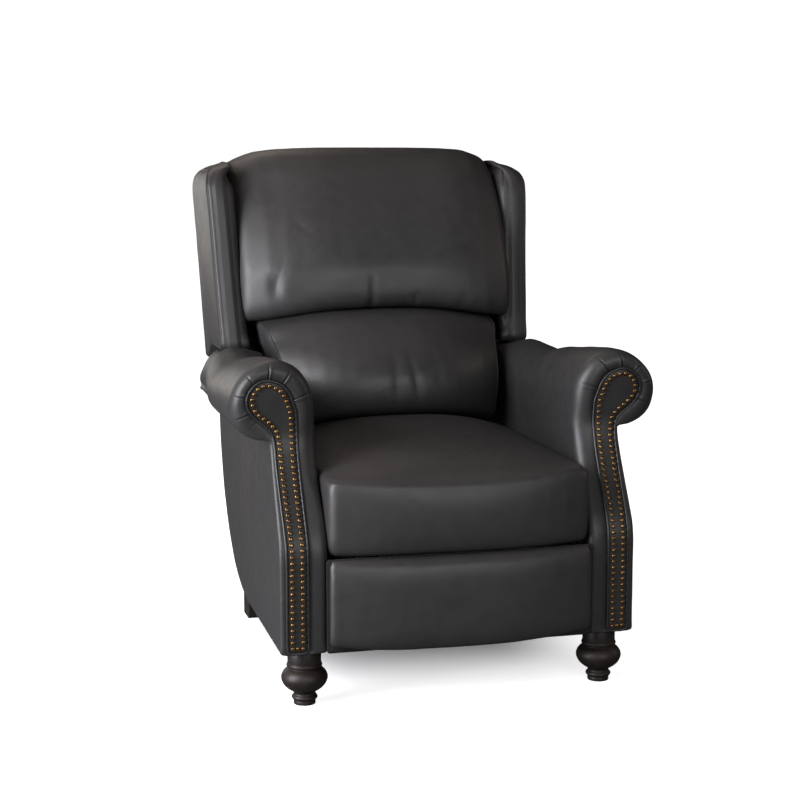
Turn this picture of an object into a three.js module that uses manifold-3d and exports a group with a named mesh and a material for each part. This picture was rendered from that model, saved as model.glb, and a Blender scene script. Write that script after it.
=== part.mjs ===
// Wingback push-back recliner, modelled piece by piece in millimetres.
// +Z up, the front faces -Y, X = 0 is the plane of symmetry.
// Shapes are drawn in a working frame with Y = 0 on the lower front of the arms;
// the whole group is then moved by -Y_MID, so the origin is under the middle.
import * as THREE from "three";
import { mergeVertices } from "three/addons/utils/BufferGeometryUtils.js";
import Module from "manifold-3d";

const wasm = await Module();
wasm.setup();

// ---- driving dimensions ----
const Y_MID = 449.5;            // working Y of the middle of the footprint
const GAP = 0.3;              // clearance between touching pieces

const ARM_IN = 263;           // inner face of an arm
const ARM_OUT = 358;          // outer face of an arm at the front
const ARM_TAPER = 0.03;       // the outer face comes in towards the rear
const ARM_REAR = 800;         // rear end of an arm
const ARM_UNDER = 499.7;      // top of the arm panels, under the roll
const ROLL_C = [347, 577];    // centre of the roll at the front (X, Z)

const SEAT_W = 262;           // half width of the seat cushion
const SEAT_FRONT = -32;
const SEAT_REAR = 600;
const SEAT_UNDER = 325;       // underside of the cushion over the seat frame

// lateral layers of the steel linkage, from the arm inwards
const L_BASE = [258.5, 262.5];
const L_PAR = [252, 256];
const L_UP = [246, 250];
const L_LOW = [240, 244];
const L_RAIL = [234, 238];
const L_BRK = [229, 233];

// pivots (Y, Z)
const P1 = [140, 242];                                   // lower link on the base plate
const LINK = 205;                                        // lower and parallel link length
const CLOSED = -141 * Math.PI / 180;                     // link angle, forward = 0, up = 90
const E1 = [P1[0] - LINK * Math.cos(CLOSED), P1[1] + LINK * Math.sin(CLOSED)];
const PAR = [-75 * Math.cos(27 * Math.PI / 180), 75 * Math.sin(27 * Math.PI / 180)];
const P2 = [P1[0] + PAR[0], P1[1] + PAR[1]];             // parallel link on the base plate
const E2 = [E1[0] + PAR[0], E1[1] + PAR[1]];             // open pivot of the footrest linkage
const B = [22, 148];                                     // footrest board pivot
const SWING = 70;
const LEAN = 25 * Math.PI / 180;
const F0 = [300, 215];                                   // front swing link, lower pivot
const R0 = [560, 215];                                   // rear swing link, lower pivot
const F1 = [F0[0] + SWING * Math.sin(LEAN), F0[1] + SWING * Math.cos(LEAN)];
const R1 = [R0[0] + SWING * Math.sin(LEAN), R0[1] + SWING * Math.cos(LEAN)];
const HINGE = [700, 340];                                // back on the seat rails

// ---- materials ----
const std = (color, roughness, metalness) => new THREE.MeshStandardMaterial({ color, roughness, metalness });
const LEATHER = std(0x3a3938, 0.42, 0);
const WOOD = std(0x221811, 0.38, 0);
const FRAME_WOOD = std(0xb39468, 0.8, 0);
const STEEL = std(0x2b2c2e, 0.45, 0.8);
const ZINC = std(0x8f9194, 0.4, 1);
const BRASS = std(0x8a6a3a, 0.38, 1);

const group = new THREE.Group();
group.position.set(0, -Y_MID, 0);

// ---- helpers ----
function clean(g) {
  g = g.index ? g.toNonIndexed() : g;
  g.deleteAttribute("normal"); g.deleteAttribute("uv");
  return mergeVertices(g, 1e-4);
}
function flip(g) {                       // mirror in X, faces kept pointing out
  g = clean(g.clone());
  const p = g.attributes.position, ix = g.index.array;
  for (let i = 0; i < p.count; i++) p.setX(i, -p.getX(i));
  for (let i = 0; i < ix.length; i += 3) { const t = ix[i]; ix[i] = ix[i + 1]; ix[i + 1] = t; }
  return g;
}
function bend(g, fn) {                   // move every vertex by a function
  g = clean(g);
  const p = g.attributes.position;
  for (let i = 0; i < p.count; i++) { const v = fn(p.getX(i), p.getY(i), p.getZ(i)); p.setXYZ(i, v[0], v[1], v[2]); }
  return g;
}
const solid = (g) => { g = clean(g); return new wasm.Manifold(new wasm.Mesh({ numProp: 3, vertProperties: new Float32Array(g.attributes.position.array), triVerts: new Uint32Array(g.index.array) })); };
function geom(m) {
  const s = m.getMesh(), g = new THREE.BufferGeometry();
  g.setAttribute("position", new THREE.BufferAttribute(new Float32Array(s.vertProperties), 3));
  g.setIndex(new THREE.BufferAttribute(new Uint32Array(s.triVerts), 1));
  return g;
}
const join = (...gs) => geom(gs.map(solid).reduce((a, b) => a.add(b)));
const cut = (a, ...gs) => geom(gs.map(solid).reduce((m, b) => m.subtract(b), solid(a)));

function add(name, g, material) {
  g = clean(g); g.computeVertexNormals();
  const m = new THREE.Mesh(g, material); m.name = name; group.add(m); return m;
}
function pair(name, g, material) { add(name + "_right", g, material); add(name + "_left", flip(g), material); }

const circle = (c, r, n = 16) => Array.from({ length: n }, (_, i) => [c[0] + r * Math.cos(2 * Math.PI * i / n), c[1] + r * Math.sin(2 * Math.PI * i / n)]);
function shapeOf(pts, holes = []) {
  const s = new THREE.Shape(pts.map((p) => new THREE.Vector2(p[0], p[1])));
  for (const h of holes) s.holes.push(new THREE.Path(h.map((p) => new THREE.Vector2(p[0], p[1]))));
  return s;
}
// a plate drawn in (Y, Z), thick along X
function plate(pts, x0, x1, holes = []) {
  const g = new THREE.ExtrudeGeometry(shapeOf(pts, holes), { depth: x1 - x0, bevelEnabled: false });
  return bend(g, (x, y, z) => [z + x0, x, y]);
}
// a plate drawn in (X, Z), thick along Y
function wall(pts, y0, y1, holes = []) {
  const g = new THREE.ExtrudeGeometry(shapeOf(pts, holes), { depth: y1 - y0, bevelEnabled: false });
  return bend(g, (x, y, z) => [x, y1 - z, y]);
}
// a plate drawn in (X, Y), thick along Z
function slab(pts, z0, z1, holes = []) {
  const g = new THREE.ExtrudeGeometry(shapeOf(pts, holes), { depth: z1 - z0, bevelEnabled: false });
  return bend(g, (x, y, z) => [x, y, z + z0]);
}
const box = (x0, x1, y0, y1, z0, z1) => { const g = new THREE.BoxGeometry(x1 - x0, y1 - y0, z1 - z0); g.translate((x0 + x1) / 2, (y0 + y1) / 2, (z0 + z1) / 2); return g; };
const rod = (c, r, x0, x1, n = 16) => plate(circle(c, r, n), x0, x1);
// rings of equal length joined into one closed body, with flat fans at both ends
function loft(rings) {
  const n = rings[0].length, pos = [], idx = [];
  for (const r of rings) for (const p of r) pos.push(...p);
  for (let i = 0; i + 1 < rings.length; i++) for (let j = 0; j < n; j++) {
    const a = i * n + j, b = i * n + (j + 1) % n, c = a + n, d = b + n;
    idx.push(a, b, d, a, d, c);
  }
  for (const [k, up] of [[0, false], [rings.length - 1, true]]) {
    const c = [0, 0, 0]; for (const p of rings[k]) for (let q = 0; q < 3; q++) c[q] += p[q] / n;
    const ci = pos.length / 3; pos.push(...c);
    for (let j = 0; j < n; j++) { const a = k * n + j, b = k * n + (j + 1) % n; up ? idx.push(a, b, ci) : idx.push(b, a, ci); }
  }
  const g = new THREE.BufferGeometry();
  g.setAttribute("position", new THREE.BufferAttribute(new Float32Array(pos), 3)); g.setIndex(idx);
  // faces out: flip when the signed volume is negative
  let v = 0; const P = g.attributes.position;
  for (let i = 0; i < idx.length; i += 3) {
    const a = new THREE.Vector3().fromBufferAttribute(P, idx[i]), b = new THREE.Vector3().fromBufferAttribute(P, idx[i + 1]), c = new THREE.Vector3().fromBufferAttribute(P, idx[i + 2]);
    v += a.dot(b.cross(c));
  }
  if (v < 0) { for (let i = 0; i < idx.length; i += 3) { const t = idx[i]; idx[i] = idx[i + 1]; idx[i + 1] = t; } g.setIndex(idx); }
  return g;
}
// a (Y, Z) outline carried across X, its points moved by fn(share of the half width, y, z)
function sweep(prof, xs, fn) {
  const twice = prof.reduce((t, p, i) => { const q = prof[(i + 1) % prof.length]; return t + p[0] * q[1] - q[0] * p[1]; }, 0);
  if (twice < 0) prof = prof.slice().reverse();
  const n = prof.length, half = xs[xs.length - 1], pos = [], idx = [];
  for (const x of xs) for (const [y, z] of prof) { const q = fn(Math.abs(x) / half, y, z); pos.push(x, q[0], q[1]); }
  for (let i = 0; i + 1 < xs.length; i++) for (let j = 0; j < n; j++) {
    const a = i * n + j, b = i * n + (j + 1) % n, c = a + n, d = b + n;
    idx.push(a, b, d, a, d, c);
  }
  for (const [k, sign] of [[0, -1], [xs.length - 1, 1]]) {
    const at = (j) => [pos[3 * (k * n + j) + 1], pos[3 * (k * n + j) + 2]];
    const ring = prof.map((_, j) => new THREE.Vector2(...at(j)));
    for (const t of THREE.ShapeUtils.triangulateShape(ring, [])) {
      const [u, v, w] = t.map(at), area = (v[0] - u[0]) * (w[1] - u[1]) - (w[0] - u[0]) * (v[1] - u[1]);
      const f = area * sign > 0 ? t : [t[0], t[2], t[1]];
      idx.push(...f.map((j) => k * n + j));
    }
  }
  const g = new THREE.BufferGeometry();
  g.setAttribute("position", new THREE.BufferAttribute(new Float32Array(pos), 3)); g.setIndex(idx);
  return g;
}
const across = (half, shares) => [...shares.slice().reverse().map((u) => -u * half), 0, ...shares.map((u) => u * half)];
const ramp = (a, b, x) => { const t = Math.min(1, Math.max(0, (x - a) / (b - a))); return t * t * (3 - 2 * t); };

// a flat bar with round ends through its pivots, in (Y, Z)
function bar(a, b, r, n = 8) {
  const t = Math.atan2(b[1] - a[1], b[0] - a[0]), pts = [];
  for (let i = 0; i <= n; i++) { const u = t + Math.PI / 2 + Math.PI * i / n; pts.push([a[0] + r * Math.cos(u), a[1] + r * Math.sin(u)]); }
  for (let i = 0; i <= n; i++) { const u = t - Math.PI / 2 + Math.PI * i / n; pts.push([b[0] + r * Math.cos(u), b[1] + r * Math.sin(u)]); }
  return pts;
}
const lerp = (t, tab) => {               // piecewise linear table
  if (t <= tab[0][0]) return tab[0][1];
  for (let i = 1; i < tab.length; i++) if (t <= tab[i][0]) { const [a, u] = tab[i - 1], [b, v] = tab[i]; return u + (v - u) * (t - a) / (b - a); }
  return tab[tab.length - 1][1];
};

// ---- arms ----
// front edge of an arm in side view: upright below, leaning back above
const FRONT = [[108, 6], [116, 1], [125, 0], [298, 0], [320, 4], [340, 12], [380, 35], [420, 58], [460, 78], [490, 90], [515, 96], [560, 93], [600, 88], [640, 85]];
const frontY = (z) => lerp(z, FRONT);
const armProfile = (inset, top) => {
  const f = [[108 + inset, 6], [116 + inset, 1], [135, 0], [298, 0], [320, 4], [340, 12], [380, 35], [420, 58], [460, 78], [top, frontY(top)]];
  const pts = f.map(([z, y]) => [y + 12 + inset, z]);
  pts.push([ARM_REAR - inset, top], [ARM_REAR - inset, 440], [785 - inset, 387], [735 - inset, 308 + inset * 0.6], [685 - inset * 0.8, 250 + inset * 0.8], [630 - inset * 0.6, 196 + inset], [580, 153 + inset], [530, 131 + inset], [430, 111 + inset], [300, 108 + inset]);
  return pts;
};
const taper = (g) => bend(g, (x, y, z) => [x > 300 ? x - ARM_TAPER * y : x, y, z]);
pair("arm_inner_panel", plate(armProfile(0, ARM_UNDER), ARM_IN, ARM_IN + 20), LEATHER);
pair("arm_outer_panel", taper(plate(armProfile(0, ARM_UNDER), ARM_OUT - 15, ARM_OUT)), LEATHER);
{
  const outer = armProfile(8, ARM_UNDER);
  const window_ = [[75, 165], [75, 298], [110, 360], [150, 450], [735, 450], [735, 400], [660, 300], [560, 205], [470, 165]];
  pair("arm_frame", taper(plate(outer, ARM_IN + 20 + GAP, ARM_OUT - 15 - GAP, [window_.reverse()])), FRAME_WOOD);
}
// the roll: its section in (X, Z) at stations from front to rear
{
  const sec = (y, k, cx, cz, r) => {
    const pts = [];
    // inner side straight up, then round over the top, out and under
    pts.push([ARM_IN + 93 * (1 - k), y, 500], [ARM_IN + 20 * (1 - k), y, 520], [ARM_IN + 10 * (1 - k), y, Math.min(548, cz + r * 0.2079 - 8)]);
    for (let i = 0; i <= 13; i++) {
      const a = (168 - i * (168 + 68) / 13) * Math.PI / 180;
      pts.push([Math.max(ARM_IN + (i === 0 ? 0 : 1), cx + r * Math.cos(a)), y, Math.max(500, cz + r * Math.sin(a))]);
    }
    return pts;
  };
  const st = [[106.2, 0.78, 64], [110, 0.9, 76], [119, 0.97, 82], [134, 1, 85], [230, 1, 85], [350, 1, 84], [450, 1, 83], [600, 1, 80], [635, 1, 77], [654, 1, 74], [680, 1, 73], [700, 1, 72], [736, 1, 70], [750, 1, 68], [762, 1, 65], [780, 1, 59], [799, 1, 52]];   // the rear end is rounded down, clear of the reclining wing
  const rings = st.map(([y, k, r]) => {
    const top = lerp(y, [[106, 650], [119, 658], [155, 660], [230, 651], [350, 637], [450, 624], [540, 627], [600, 627.5], [635, 621.5], [654, 614.5], [680, 611.5], [700, 609.3], [736, 607.5], [750, 601.5], [762, 594.5], [780, 583.5], [799, 574]]);
    const cx = lerp(y, [[106, 345], [134, 347], [450, 345], [600, 336], [700, 328], [799, 321]]);
    return sec(y, k, cx, top - r, r);
  });
  pair("arm_roll", loft(rings), LEATHER);
}
// nail panel: keyhole strip down the front, and the nail strip round its border
const OUT_X = [[117, 346], [300, 346], [420, 347], [500, 350], [520, 354], [545, 368], [565, 388], [585, 398], [600, 395], [612, 385], [620, 372], [625, 360]];
const IN_X = [[117, 301], [300, 301], [420, 302], [500, 303], [545, 306], [570, 312], [590, 321], [605, 330], [615, 340], [625, 356]];
{
  const zs = [117, 140, 200, 298, 320, 340, 380, 420, 460, 490, 515, 535, 550, 565, 585, 600, 612, 620, 625];
  const rings = zs.map((z) => { const y = frontY(z), a = lerp(z, IN_X), b = lerp(z, OUT_X); return [[a, y + 10, z], [b, y + 10, z], [b, y + 3, z], [a, y + 3, z]]; });
  pair("nail_panel", bend(loft(rings), (x, y, z) => [x, y - 0.6, z]), LEATHER);
}
{
  const path = [];
  for (const z of [121, 180, 240, 298, 320, 340, 380, 420, 460, 490, 515]) path.push([lerp(z, IN_X) + 10, z]);
  path.push([317, 545], [322, 565], [332, 585], [341, 600], [350, 609], [358, 613], [368, 611], [378, 605], [386, 596], [389, 585], [384, 571], [372, 558], [358, 545], [347, 530], [340, 515]);
  for (const z of [490, 460, 420, 380, 340, 320, 298, 240, 180, 121]) path.push([332, z]);
  const rings = [];
  for (let i = 0; i < path.length; i++) {
    const a = path[Math.max(0, i - 1)], b = path[Math.min(path.length - 1, i + 1)];
    const t = [b[0] - a[0], b[1] - a[1]], l = Math.hypot(...t), n = [-t[1] / l * 4, t[0] / l * 4];
    const [x, z] = path[i], y = frontY(z) + 2.0;
    rings.push([[x - n[0], y, z - n[1]], [x + n[0], y, z + n[1]], [x + n[0], y - 1.8, z + n[1]], [x - n[0], y - 1.8, z - n[1]]]);
  }
  pair("nail_strip", loft(rings), BRASS);
}

// ---- legs and rails ----
{
  const prof = [[0, 0], [21, 0], [21, 8], [25, 11], [25, 16], [21.5, 22], [23, 26], [36, 34], [43, 44], [45, 52], [43, 61], [36, 69], [31, 72], [34, 75], [34, 79], [32.5, 82], [32.5, 107.7], [0, 107.7]];
  const g = new THREE.LatheGeometry(prof.map((p) => new THREE.Vector2(p[0], p[1])), 20);
  pair("front_foot", bend(g, (x, y, z) => [x + 301, -z + 45, y]), WOOD);
}
pair("rear_leg", bend(plate([[665, 0], [725, 0], [725, 295.2], [685, 248.6], [665, 229]], 242, 300), (x, y, z) => [x, y + (z < 1 ? 6 : 0), z]), WOOD);
add("mid_rail", box(-ARM_IN + GAP, ARM_IN - GAP, 390, 412, 118, 178), FRAME_WOOD);
add("rear_rail", box(-ARM_IN + GAP, ARM_IN - GAP, 640, 662, 140, 225), FRAME_WOOD);

// ---- steel base plates ----
pair("base_plate", plate([[50, 238], [92, 226], [250, 205], [285, 195], [590, 195], [620, 210], [620, 250], [590, 262], [300, 270], [110, 291], [60, 291], [50, 284]], ...L_BASE,
  [circle(P1, 5.4), circle(P2, 5.4), circle(F0, 5.4), circle(R0, 5.4)]), STEEL);

// ---- swing links and their tubes ----
for (const [nm, a, b] of [["front", F0, F1], ["rear", R0, R1]]) {
  pair("swing_link_" + nm, join(plate(bar(a, b, 11), ...L_LOW), rod(a, 5, L_LOW[1] - 1, L_BASE[1] - 0.6), rod(b, 5, L_RAIL[0], L_LOW[0] + 1)), STEEL);
  add("swing_tube_" + nm, rod(a, 8, -L_LOW[0] + GAP, L_LOW[0] - GAP), ZINC);
}

// ---- seat ----
pair("seat_rail", plate([[60, 266], [60, 311], [600, 311], [655, 332], [682, 362], [700, 368], [716, 362], [724, 342], [716, 322], [664, 274], [630, 264], [400, 262], [120, 264]], ...L_RAIL,
  [circle(F1, 5.4), circle(R1, 5.4), circle(HINGE, 6.4)]), STEEL);
add("seat_frame", slab([[-233.5, 28], [233.5, 28], [233.5, 596], [-233.5, 596]], 292.5, 324.5, [[[-198, 66], [-198, 560], [198, 560], [198, 66]]]), FRAME_WOOD);
function zigzag(half, l0, l1, pitch, w) {      // a sinuous wire as a flat band, along its second axis
  const mid = [], n = Math.round((l1 - l0) / pitch);
  for (let i = 0; i <= n; i++) {
    const l = l0 + (l1 - l0) * i / n, s = (i % 2 ? 1 : -1) * half;
    mid.push([s, l - pitch * 0.22], [s, l + pitch * 0.22]);
  }
  const unit = (p, q) => { const d = [q[0] - p[0], q[1] - p[1]], k = Math.hypot(...d); return [-d[1] / k, d[0] / k]; };
  const a = [], b = [];
  mid.forEach((p, i) => {
    const u = unit(mid[Math.max(0, i - 1)], mid[Math.max(1, i)]), v = unit(mid[Math.min(i, mid.length - 2)], mid[Math.min(i + 1, mid.length - 1)]);
    const k = w / (1 + u[0] * v[0] + u[1] * v[1]), m = [(u[0] + v[0]) * k, (u[1] + v[1]) * k];
    a.push([p[0] - m[0], p[1] - m[1]]); b.push([p[0] + m[0], p[1] + m[1]]);
  });
  return [...a, ...b.reverse()];
}
for (const [i, x] of [[1, -125], [2, 0], [3, 125]])
  add("seat_spring_" + i, bend(slab(zigzag(32, 76, 550, 26.3, 2.6), 308, 312), (u, y, z) => [u + x, y, z]), ZINC);
// crowned across its top, its front bowed forward in the middle
add("seat_cushion", sweep([[-26, 296], [-33, 304], [SEAT_FRONT - 3, 360], [-33, 418], [-26, 430], [-8, 438], [50, 455], [150, 473], [300, 486], [420, 489], [500, 478], [SEAT_REAR, 452], [SEAT_REAR, SEAT_UNDER], [27, SEAT_UNDER], [25, 296]],
  across(SEAT_W, [0.3, 0.55, 0.75, 0.9, 1]), (u, y, z) => [y + 15 * u * u * ramp(30, -20, y), z > 440 ? z - (z - 439) * u ** 2.8 : z > 400 ? z + 9 * u * u * ramp(400, 425, z) * ramp(30, -20, y) : z]), LEATHER);

// ---- back ----
const postY = (z) => 765 + (z - 310) * 75 / 690;
pair("back_post", plate([[postY(310), 310], [postY(310) + 35, 310], [postY(1000) + 30, 1000], [postY(1000), 1000]], 195, 228.6), FRAME_WOOD);
const railBehind = (z0, z1, half, dy) => bend(box(-half, half, 0, 18, z0, z1), (x, y, z) => [x, y + postY(z) + dy, z]);
add("back_rail_top", railBehind(925, 990, 302, 35.6), FRAME_WOOD);
add("back_rail_middle", railBehind(620, 680, 302, 35.6), FRAME_WOOD);
add("back_rail_bottom", railBehind(315, 375, 194.6, 8), FRAME_WOOD);
for (const [i, z] of [[1, 470], [2, 820]])
  add("back_spring_" + i, bend(slab(zigzag(30, -184, 184, 26.3, 2.6), 0, 4), (u, v, w) => [v, postY(z) + 12 + w, z + u]), ZINC);
pair("back_bracket", join(plate([[676, 340], [684, 320], [700, 314], [760, 314], [800, 330], [812, 450], [785, 450], [745, 385], [716, 362], [700, 366], [684, 358]], ...L_BRK), rod(HINGE, 6, L_BRK[1] - 1, L_RAIL[1])), STEEL);
// both back cushions curve back and down towards their sides
add("lumbar_cushion", sweep([[462, 494], [440, 503], [429, 530], [438, 575], [470, 625], [520, 668], [565, 692], [610, 699], [700, 699], [752, 699], [738, 560], [725, 456], [600, 466], [500, 486]],
  across(250, [0.35, 0.6, 0.8, 0.92, 1]), (u, y, z) => [y + 95 * u ** 2.6 * ramp(660, 450, y), z - 34 * u ** 3 * ramp(600, 690, z) * ramp(800, 600, y)]), LEATHER);
add("head_pillow", sweep([[640, 700.5], [612, 706], [598, 725], [602, 770], [625, 830], [662, 900], [705, 965], [745, 1015], [780, 1040], [825, 1050], [870, 1047], [896, 1030], [902, 1008], [834, 1004], [818, 900], [795, 720], [778, 700.5]],
  across(300, [0.4, 0.7, 0.85, 0.94, 1]), (u, y, z) => [y + 6 * u * u * ramp(760, 640, y), z - 20 * u ** 2.2 * ramp(760, 705, z) * ramp(720, 640, y) - 36 * u ** 9 * ramp(960, 1040, z) * ramp(900, 860, y)]), LEATHER);
pair("wing", bend(plate([[655, 618], [664, 660], [684, 760], [702, 860], [712, 915], [719, 950], [731, 980], [750, 1000], [778, 1011.5], [820, 1016.5], [868, 1014], [900, 1004], [926, 984], [941, 955], [938, 900], [924, 780], [908, 650], [898, 580], [802, 609], [790, 611], [700, 612.3]], 303, 352), (x, y, z) => [x + (z - 611) * 0.036, y, z]), LEATHER);
{
  const rearY = (z) => lerp(z, [[300, 862], [600, 896], [960, 940], [1006, 942]]);
  const zs = [300, 420, 600, 780, 960, 1006];
  const strip = [...zs.map((z) => [rearY(z), z]), ...zs.slice().reverse().map((z) => [rearY(z) - 13, z])];
  const side = [[808, 336], [852, 312], [rearY(330) - 6, 318], [rearY(600) - 6, 606], [822, 606]];
  add("outside_back", join(plate(strip, -301, 301), plate(side, 286, 301), plate(side, -301, -286)), LEATHER);
}

// ---- footrest ----
add("footrest_torque_tube", rod(P1, 11, -L_LOW[0] + GAP, L_LOW[0] - GAP), ZINC);
pair("lower_link", join(plate(bar(P1, E1, 11), ...L_LOW), rod(P1, 5, L_LOW[1] - 1, L_BASE[1] - 0.6), rod(E1, 5, L_LOW[1] - 1, L_UP[1])), STEEL);
pair("parallel_link", join(plate(bar(P2, E2, 7.5), ...L_PAR), rod(P2, 5, L_PAR[1] - 1, L_BASE[1] - 0.6), rod(E2, 5, L_UP[0], L_PAR[0] + 1)), STEEL);
pair("upper_link", join(cut(plate([[E1[0] + 9, E1[1] - 6], [E1[0] + 10, E1[1] + 2], [E1[0] + 4, E1[1] + 10], [E2[0] + 6, E2[1] + 9], [E2[0] - 6, E2[1] + 9], [B[0] + 40, B[1] + 9], [B[0] + 2, B[1] + 9], [B[0] - 6, B[1] + 5], [B[0] - 8, B[1]], [B[0] - 4, B[1] - 8], [B[0] + 4, B[1] - 9], [E1[0] - 2, E1[1] - 10], [E1[0] + 5, E1[1] - 9]], ...L_UP), rod(E1, 5.4, L_UP[0] - 2, L_UP[1] + 2), rod(E2, 5.4, L_UP[0] - 2, L_UP[1] + 2)), rod(B, 4, L_LOW[0], L_UP[0] + 1)), STEEL);
// cross tube of the upper links, set behind the lower pivots so it clears the lower links' ends
add("footrest_stabiliser", rod([E1[0] - 55, E1[1] + 4], 7, -L_UP[0] + GAP, L_UP[0] - GAP), ZINC);
pair("footrest_bracket", plate([[11, 118], [20, 122], [30, 140], [31, 150], [24, 160], [18, 190], [11, 205]], ...L_LOW, [circle(B, 4.4)]), STEEL);
add("footrest_board", box(-238, 238, -1.5, 10.5, 120, 270), FRAME_WOOD);
add("footrest_pad", sweep([[-6, 106], [-24, 104], [-38, 110], [-44, 130], [-46, 195], [-43, 264], [-36, 284], [-22, 291], [-6, 289], [-2, 272], [-2, 124]],
  across(261, [0.4, 0.7, 0.88, 1]), (u, y, z) => [y, z + 14 * u ** 3 * ramp(150, 106, z)]), LEATHER);

export default group;
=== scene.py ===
"""Looks of the wingback recliner: leather, brass nails, dark wood feet and the steel linkage, around the CAD frame."""
import bpy, bmesh, math, random
import numpy as np
from mathutils import Vector, Matrix
from mathutils import noise as mnoise
from mathutils.bvhtree import BVHTree

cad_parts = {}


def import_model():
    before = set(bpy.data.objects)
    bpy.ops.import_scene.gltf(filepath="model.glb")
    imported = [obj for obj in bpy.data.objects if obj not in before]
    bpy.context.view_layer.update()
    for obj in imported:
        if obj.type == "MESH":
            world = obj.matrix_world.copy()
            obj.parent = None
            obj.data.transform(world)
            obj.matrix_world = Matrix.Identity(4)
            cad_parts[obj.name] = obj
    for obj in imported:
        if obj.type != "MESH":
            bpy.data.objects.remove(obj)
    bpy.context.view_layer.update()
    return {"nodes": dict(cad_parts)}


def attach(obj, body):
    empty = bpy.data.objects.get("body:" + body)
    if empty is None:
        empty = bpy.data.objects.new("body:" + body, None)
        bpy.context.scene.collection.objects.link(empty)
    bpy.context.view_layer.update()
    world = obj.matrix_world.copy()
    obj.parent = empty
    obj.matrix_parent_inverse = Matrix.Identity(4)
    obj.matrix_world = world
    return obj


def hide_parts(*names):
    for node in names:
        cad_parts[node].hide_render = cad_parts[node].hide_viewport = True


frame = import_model()
YM = 0.4495                      # shapes below are drawn with Y = 0 on the arms' lower front
SHIFT = np.array([0.0, -YM, 0.0])
RNG = np.random.default_rng(7)
SC = bpy.context.scene
COL = SC.collection

# ---------------------------------------------------------------- camera, light, floor
AZ, EL = math.radians(-14.9068), math.radians(8.4847)
BACK = Vector((math.sin(AZ) * math.cos(EL), -math.cos(AZ) * math.cos(EL), math.sin(EL)))
cam = bpy.data.objects.new("camera", bpy.data.cameras.new("camera"))
cam.data.lens, cam.data.sensor_width, cam.data.sensor_fit = 81.0, 36.0, "HORIZONTAL"
cam.data.clip_start, cam.data.clip_end = 0.1, 60
cam.location = (-0.984, -3.2347 - YM, 1.0887)
cam.rotation_euler = (-BACK).to_track_quat("-Z", "Y").to_euler()
COL.objects.link(cam)
SC.camera = cam
SC.view_settings.view_transform = "Standard"
SC.view_settings.look = "None"
SC.view_settings.exposure = 0.0
SC.view_settings.gamma = 1.0


def area(name, loc, target, size, power, color=(1, 1, 1)):
    d = bpy.data.lights.new(name, "AREA")
    d.shape, d.size, d.size_y = "RECTANGLE", size[0], size[1]
    d.energy, d.color = power, color
    o = bpy.data.objects.new(name, d)
    o.location = loc
    o.rotation_euler = (Vector(target) - Vector(loc)).to_track_quat("-Z", "Y").to_euler()
    COL.objects.link(o)
    return o


LIGHTS = [
    # name, place, aim, size, power, colour
    ("key_left", (-3.2, -1.0, 1.3), (0, 0.0, 0.55), (1.8, 2.6), 169.0, (0.99, 0.99, 1.06)),
    ("key_front", (-2.9, -2.1, 2.4), (0, 0.0, 0.5), (1.5, 1.5), 36.0, (1.03, 0.98, 1.0)),
    ("front", (0.4, -4.4, 1.7), (0, 0.0, 0.5), (2.6, 1.6), 50.0, (0.99, 1.0, 1.0)),
    ("top", (0.0, -0.2, 3.2), (0, 0.0, 0.4), (2.4, 2.4), 5.0, (1.16, 0.97, 0.84)),
    ("right", (3.0, -0.6, 1.6), (0, 0.0, 0.5), (1.2, 2.0), 6.8, (1.14, 0.96, 0.88)),
    ("back_top", (-0.6, 2.0, 2.6), (0, 0.2, 0.7), (2.0, 1.2), 7.8, (1.15, 0.96, 0.84)),
    ("left_high", (-2.7, -0.5, 2.7), (0, 0.0, 0.5), (1.4, 1.4), 4.8, (1.12, 1.0, 0.60)),
    ("back_left", (-1.5, 3.0, 1.1), (-0.2, 0.2, 0.6), (1.2, 1.2), 10.0, (1.05, 0.99, 0.92)),
]
AMBIENT = 0.03
for spec in LIGHTS:
    if spec[4] > 0:
        area(*spec)

world = bpy.data.worlds.new("studio")
SC.world = world
world.use_nodes = True
wn, wl = world.node_tree.nodes, world.node_tree.links
wn.clear()
out = wn.new("ShaderNodeOutputWorld")
mixw = wn.new("ShaderNodeMixShader")
lp = wn.new("ShaderNodeLightPath")
dim = wn.new("ShaderNodeBackground"); dim.inputs[0].default_value = (0.86, 0.88, 0.92, 1); dim.inputs[1].default_value = AMBIENT
white = wn.new("ShaderNodeBackground"); white.inputs[0].default_value = (1, 1, 1, 1); white.inputs[1].default_value = 1.05
wl.new(lp.outputs["Is Camera Ray"], mixw.inputs[0])
wl.new(dim.outputs[0], mixw.inputs[1]); wl.new(white.outputs[0], mixw.inputs[2])
wl.new(mixw.outputs[0], out.inputs[0])


# ---------------------------------------------------------------- materials
def material(name):
    m = bpy.data.materials.new(name)
    m.use_nodes = True
    nt = m.node_tree
    nt.nodes.clear()
    o = nt.nodes.new("ShaderNodeOutputMaterial")
    b = nt.nodes.new("ShaderNodeBsdfPrincipled")
    nt.links.new(b.outputs[0], o.inputs[0])
    return m, nt, b


def coords(nt, scale=(1, 1, 1)):
    t = nt.nodes.new("ShaderNodeTexCoord")
    mp = nt.nodes.new("ShaderNodeMapping")
    mp.inputs["Scale"].default_value = scale
    nt.links.new(t.outputs["Object"], mp.inputs[0])
    return mp.outputs[0]


def noise_tex(nt, vec, scale, detail=4, rough=0.55, dist=0.0):
    n = nt.nodes.new("ShaderNodeTexNoise")
    n.inputs["Scale"].default_value, n.inputs["Detail"].default_value = scale, detail
    n.inputs["Roughness"].default_value, n.inputs["Distortion"].default_value = rough, dist
    nt.links.new(vec, n.inputs["Vector"])
    return n.outputs["Fac"]


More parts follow.
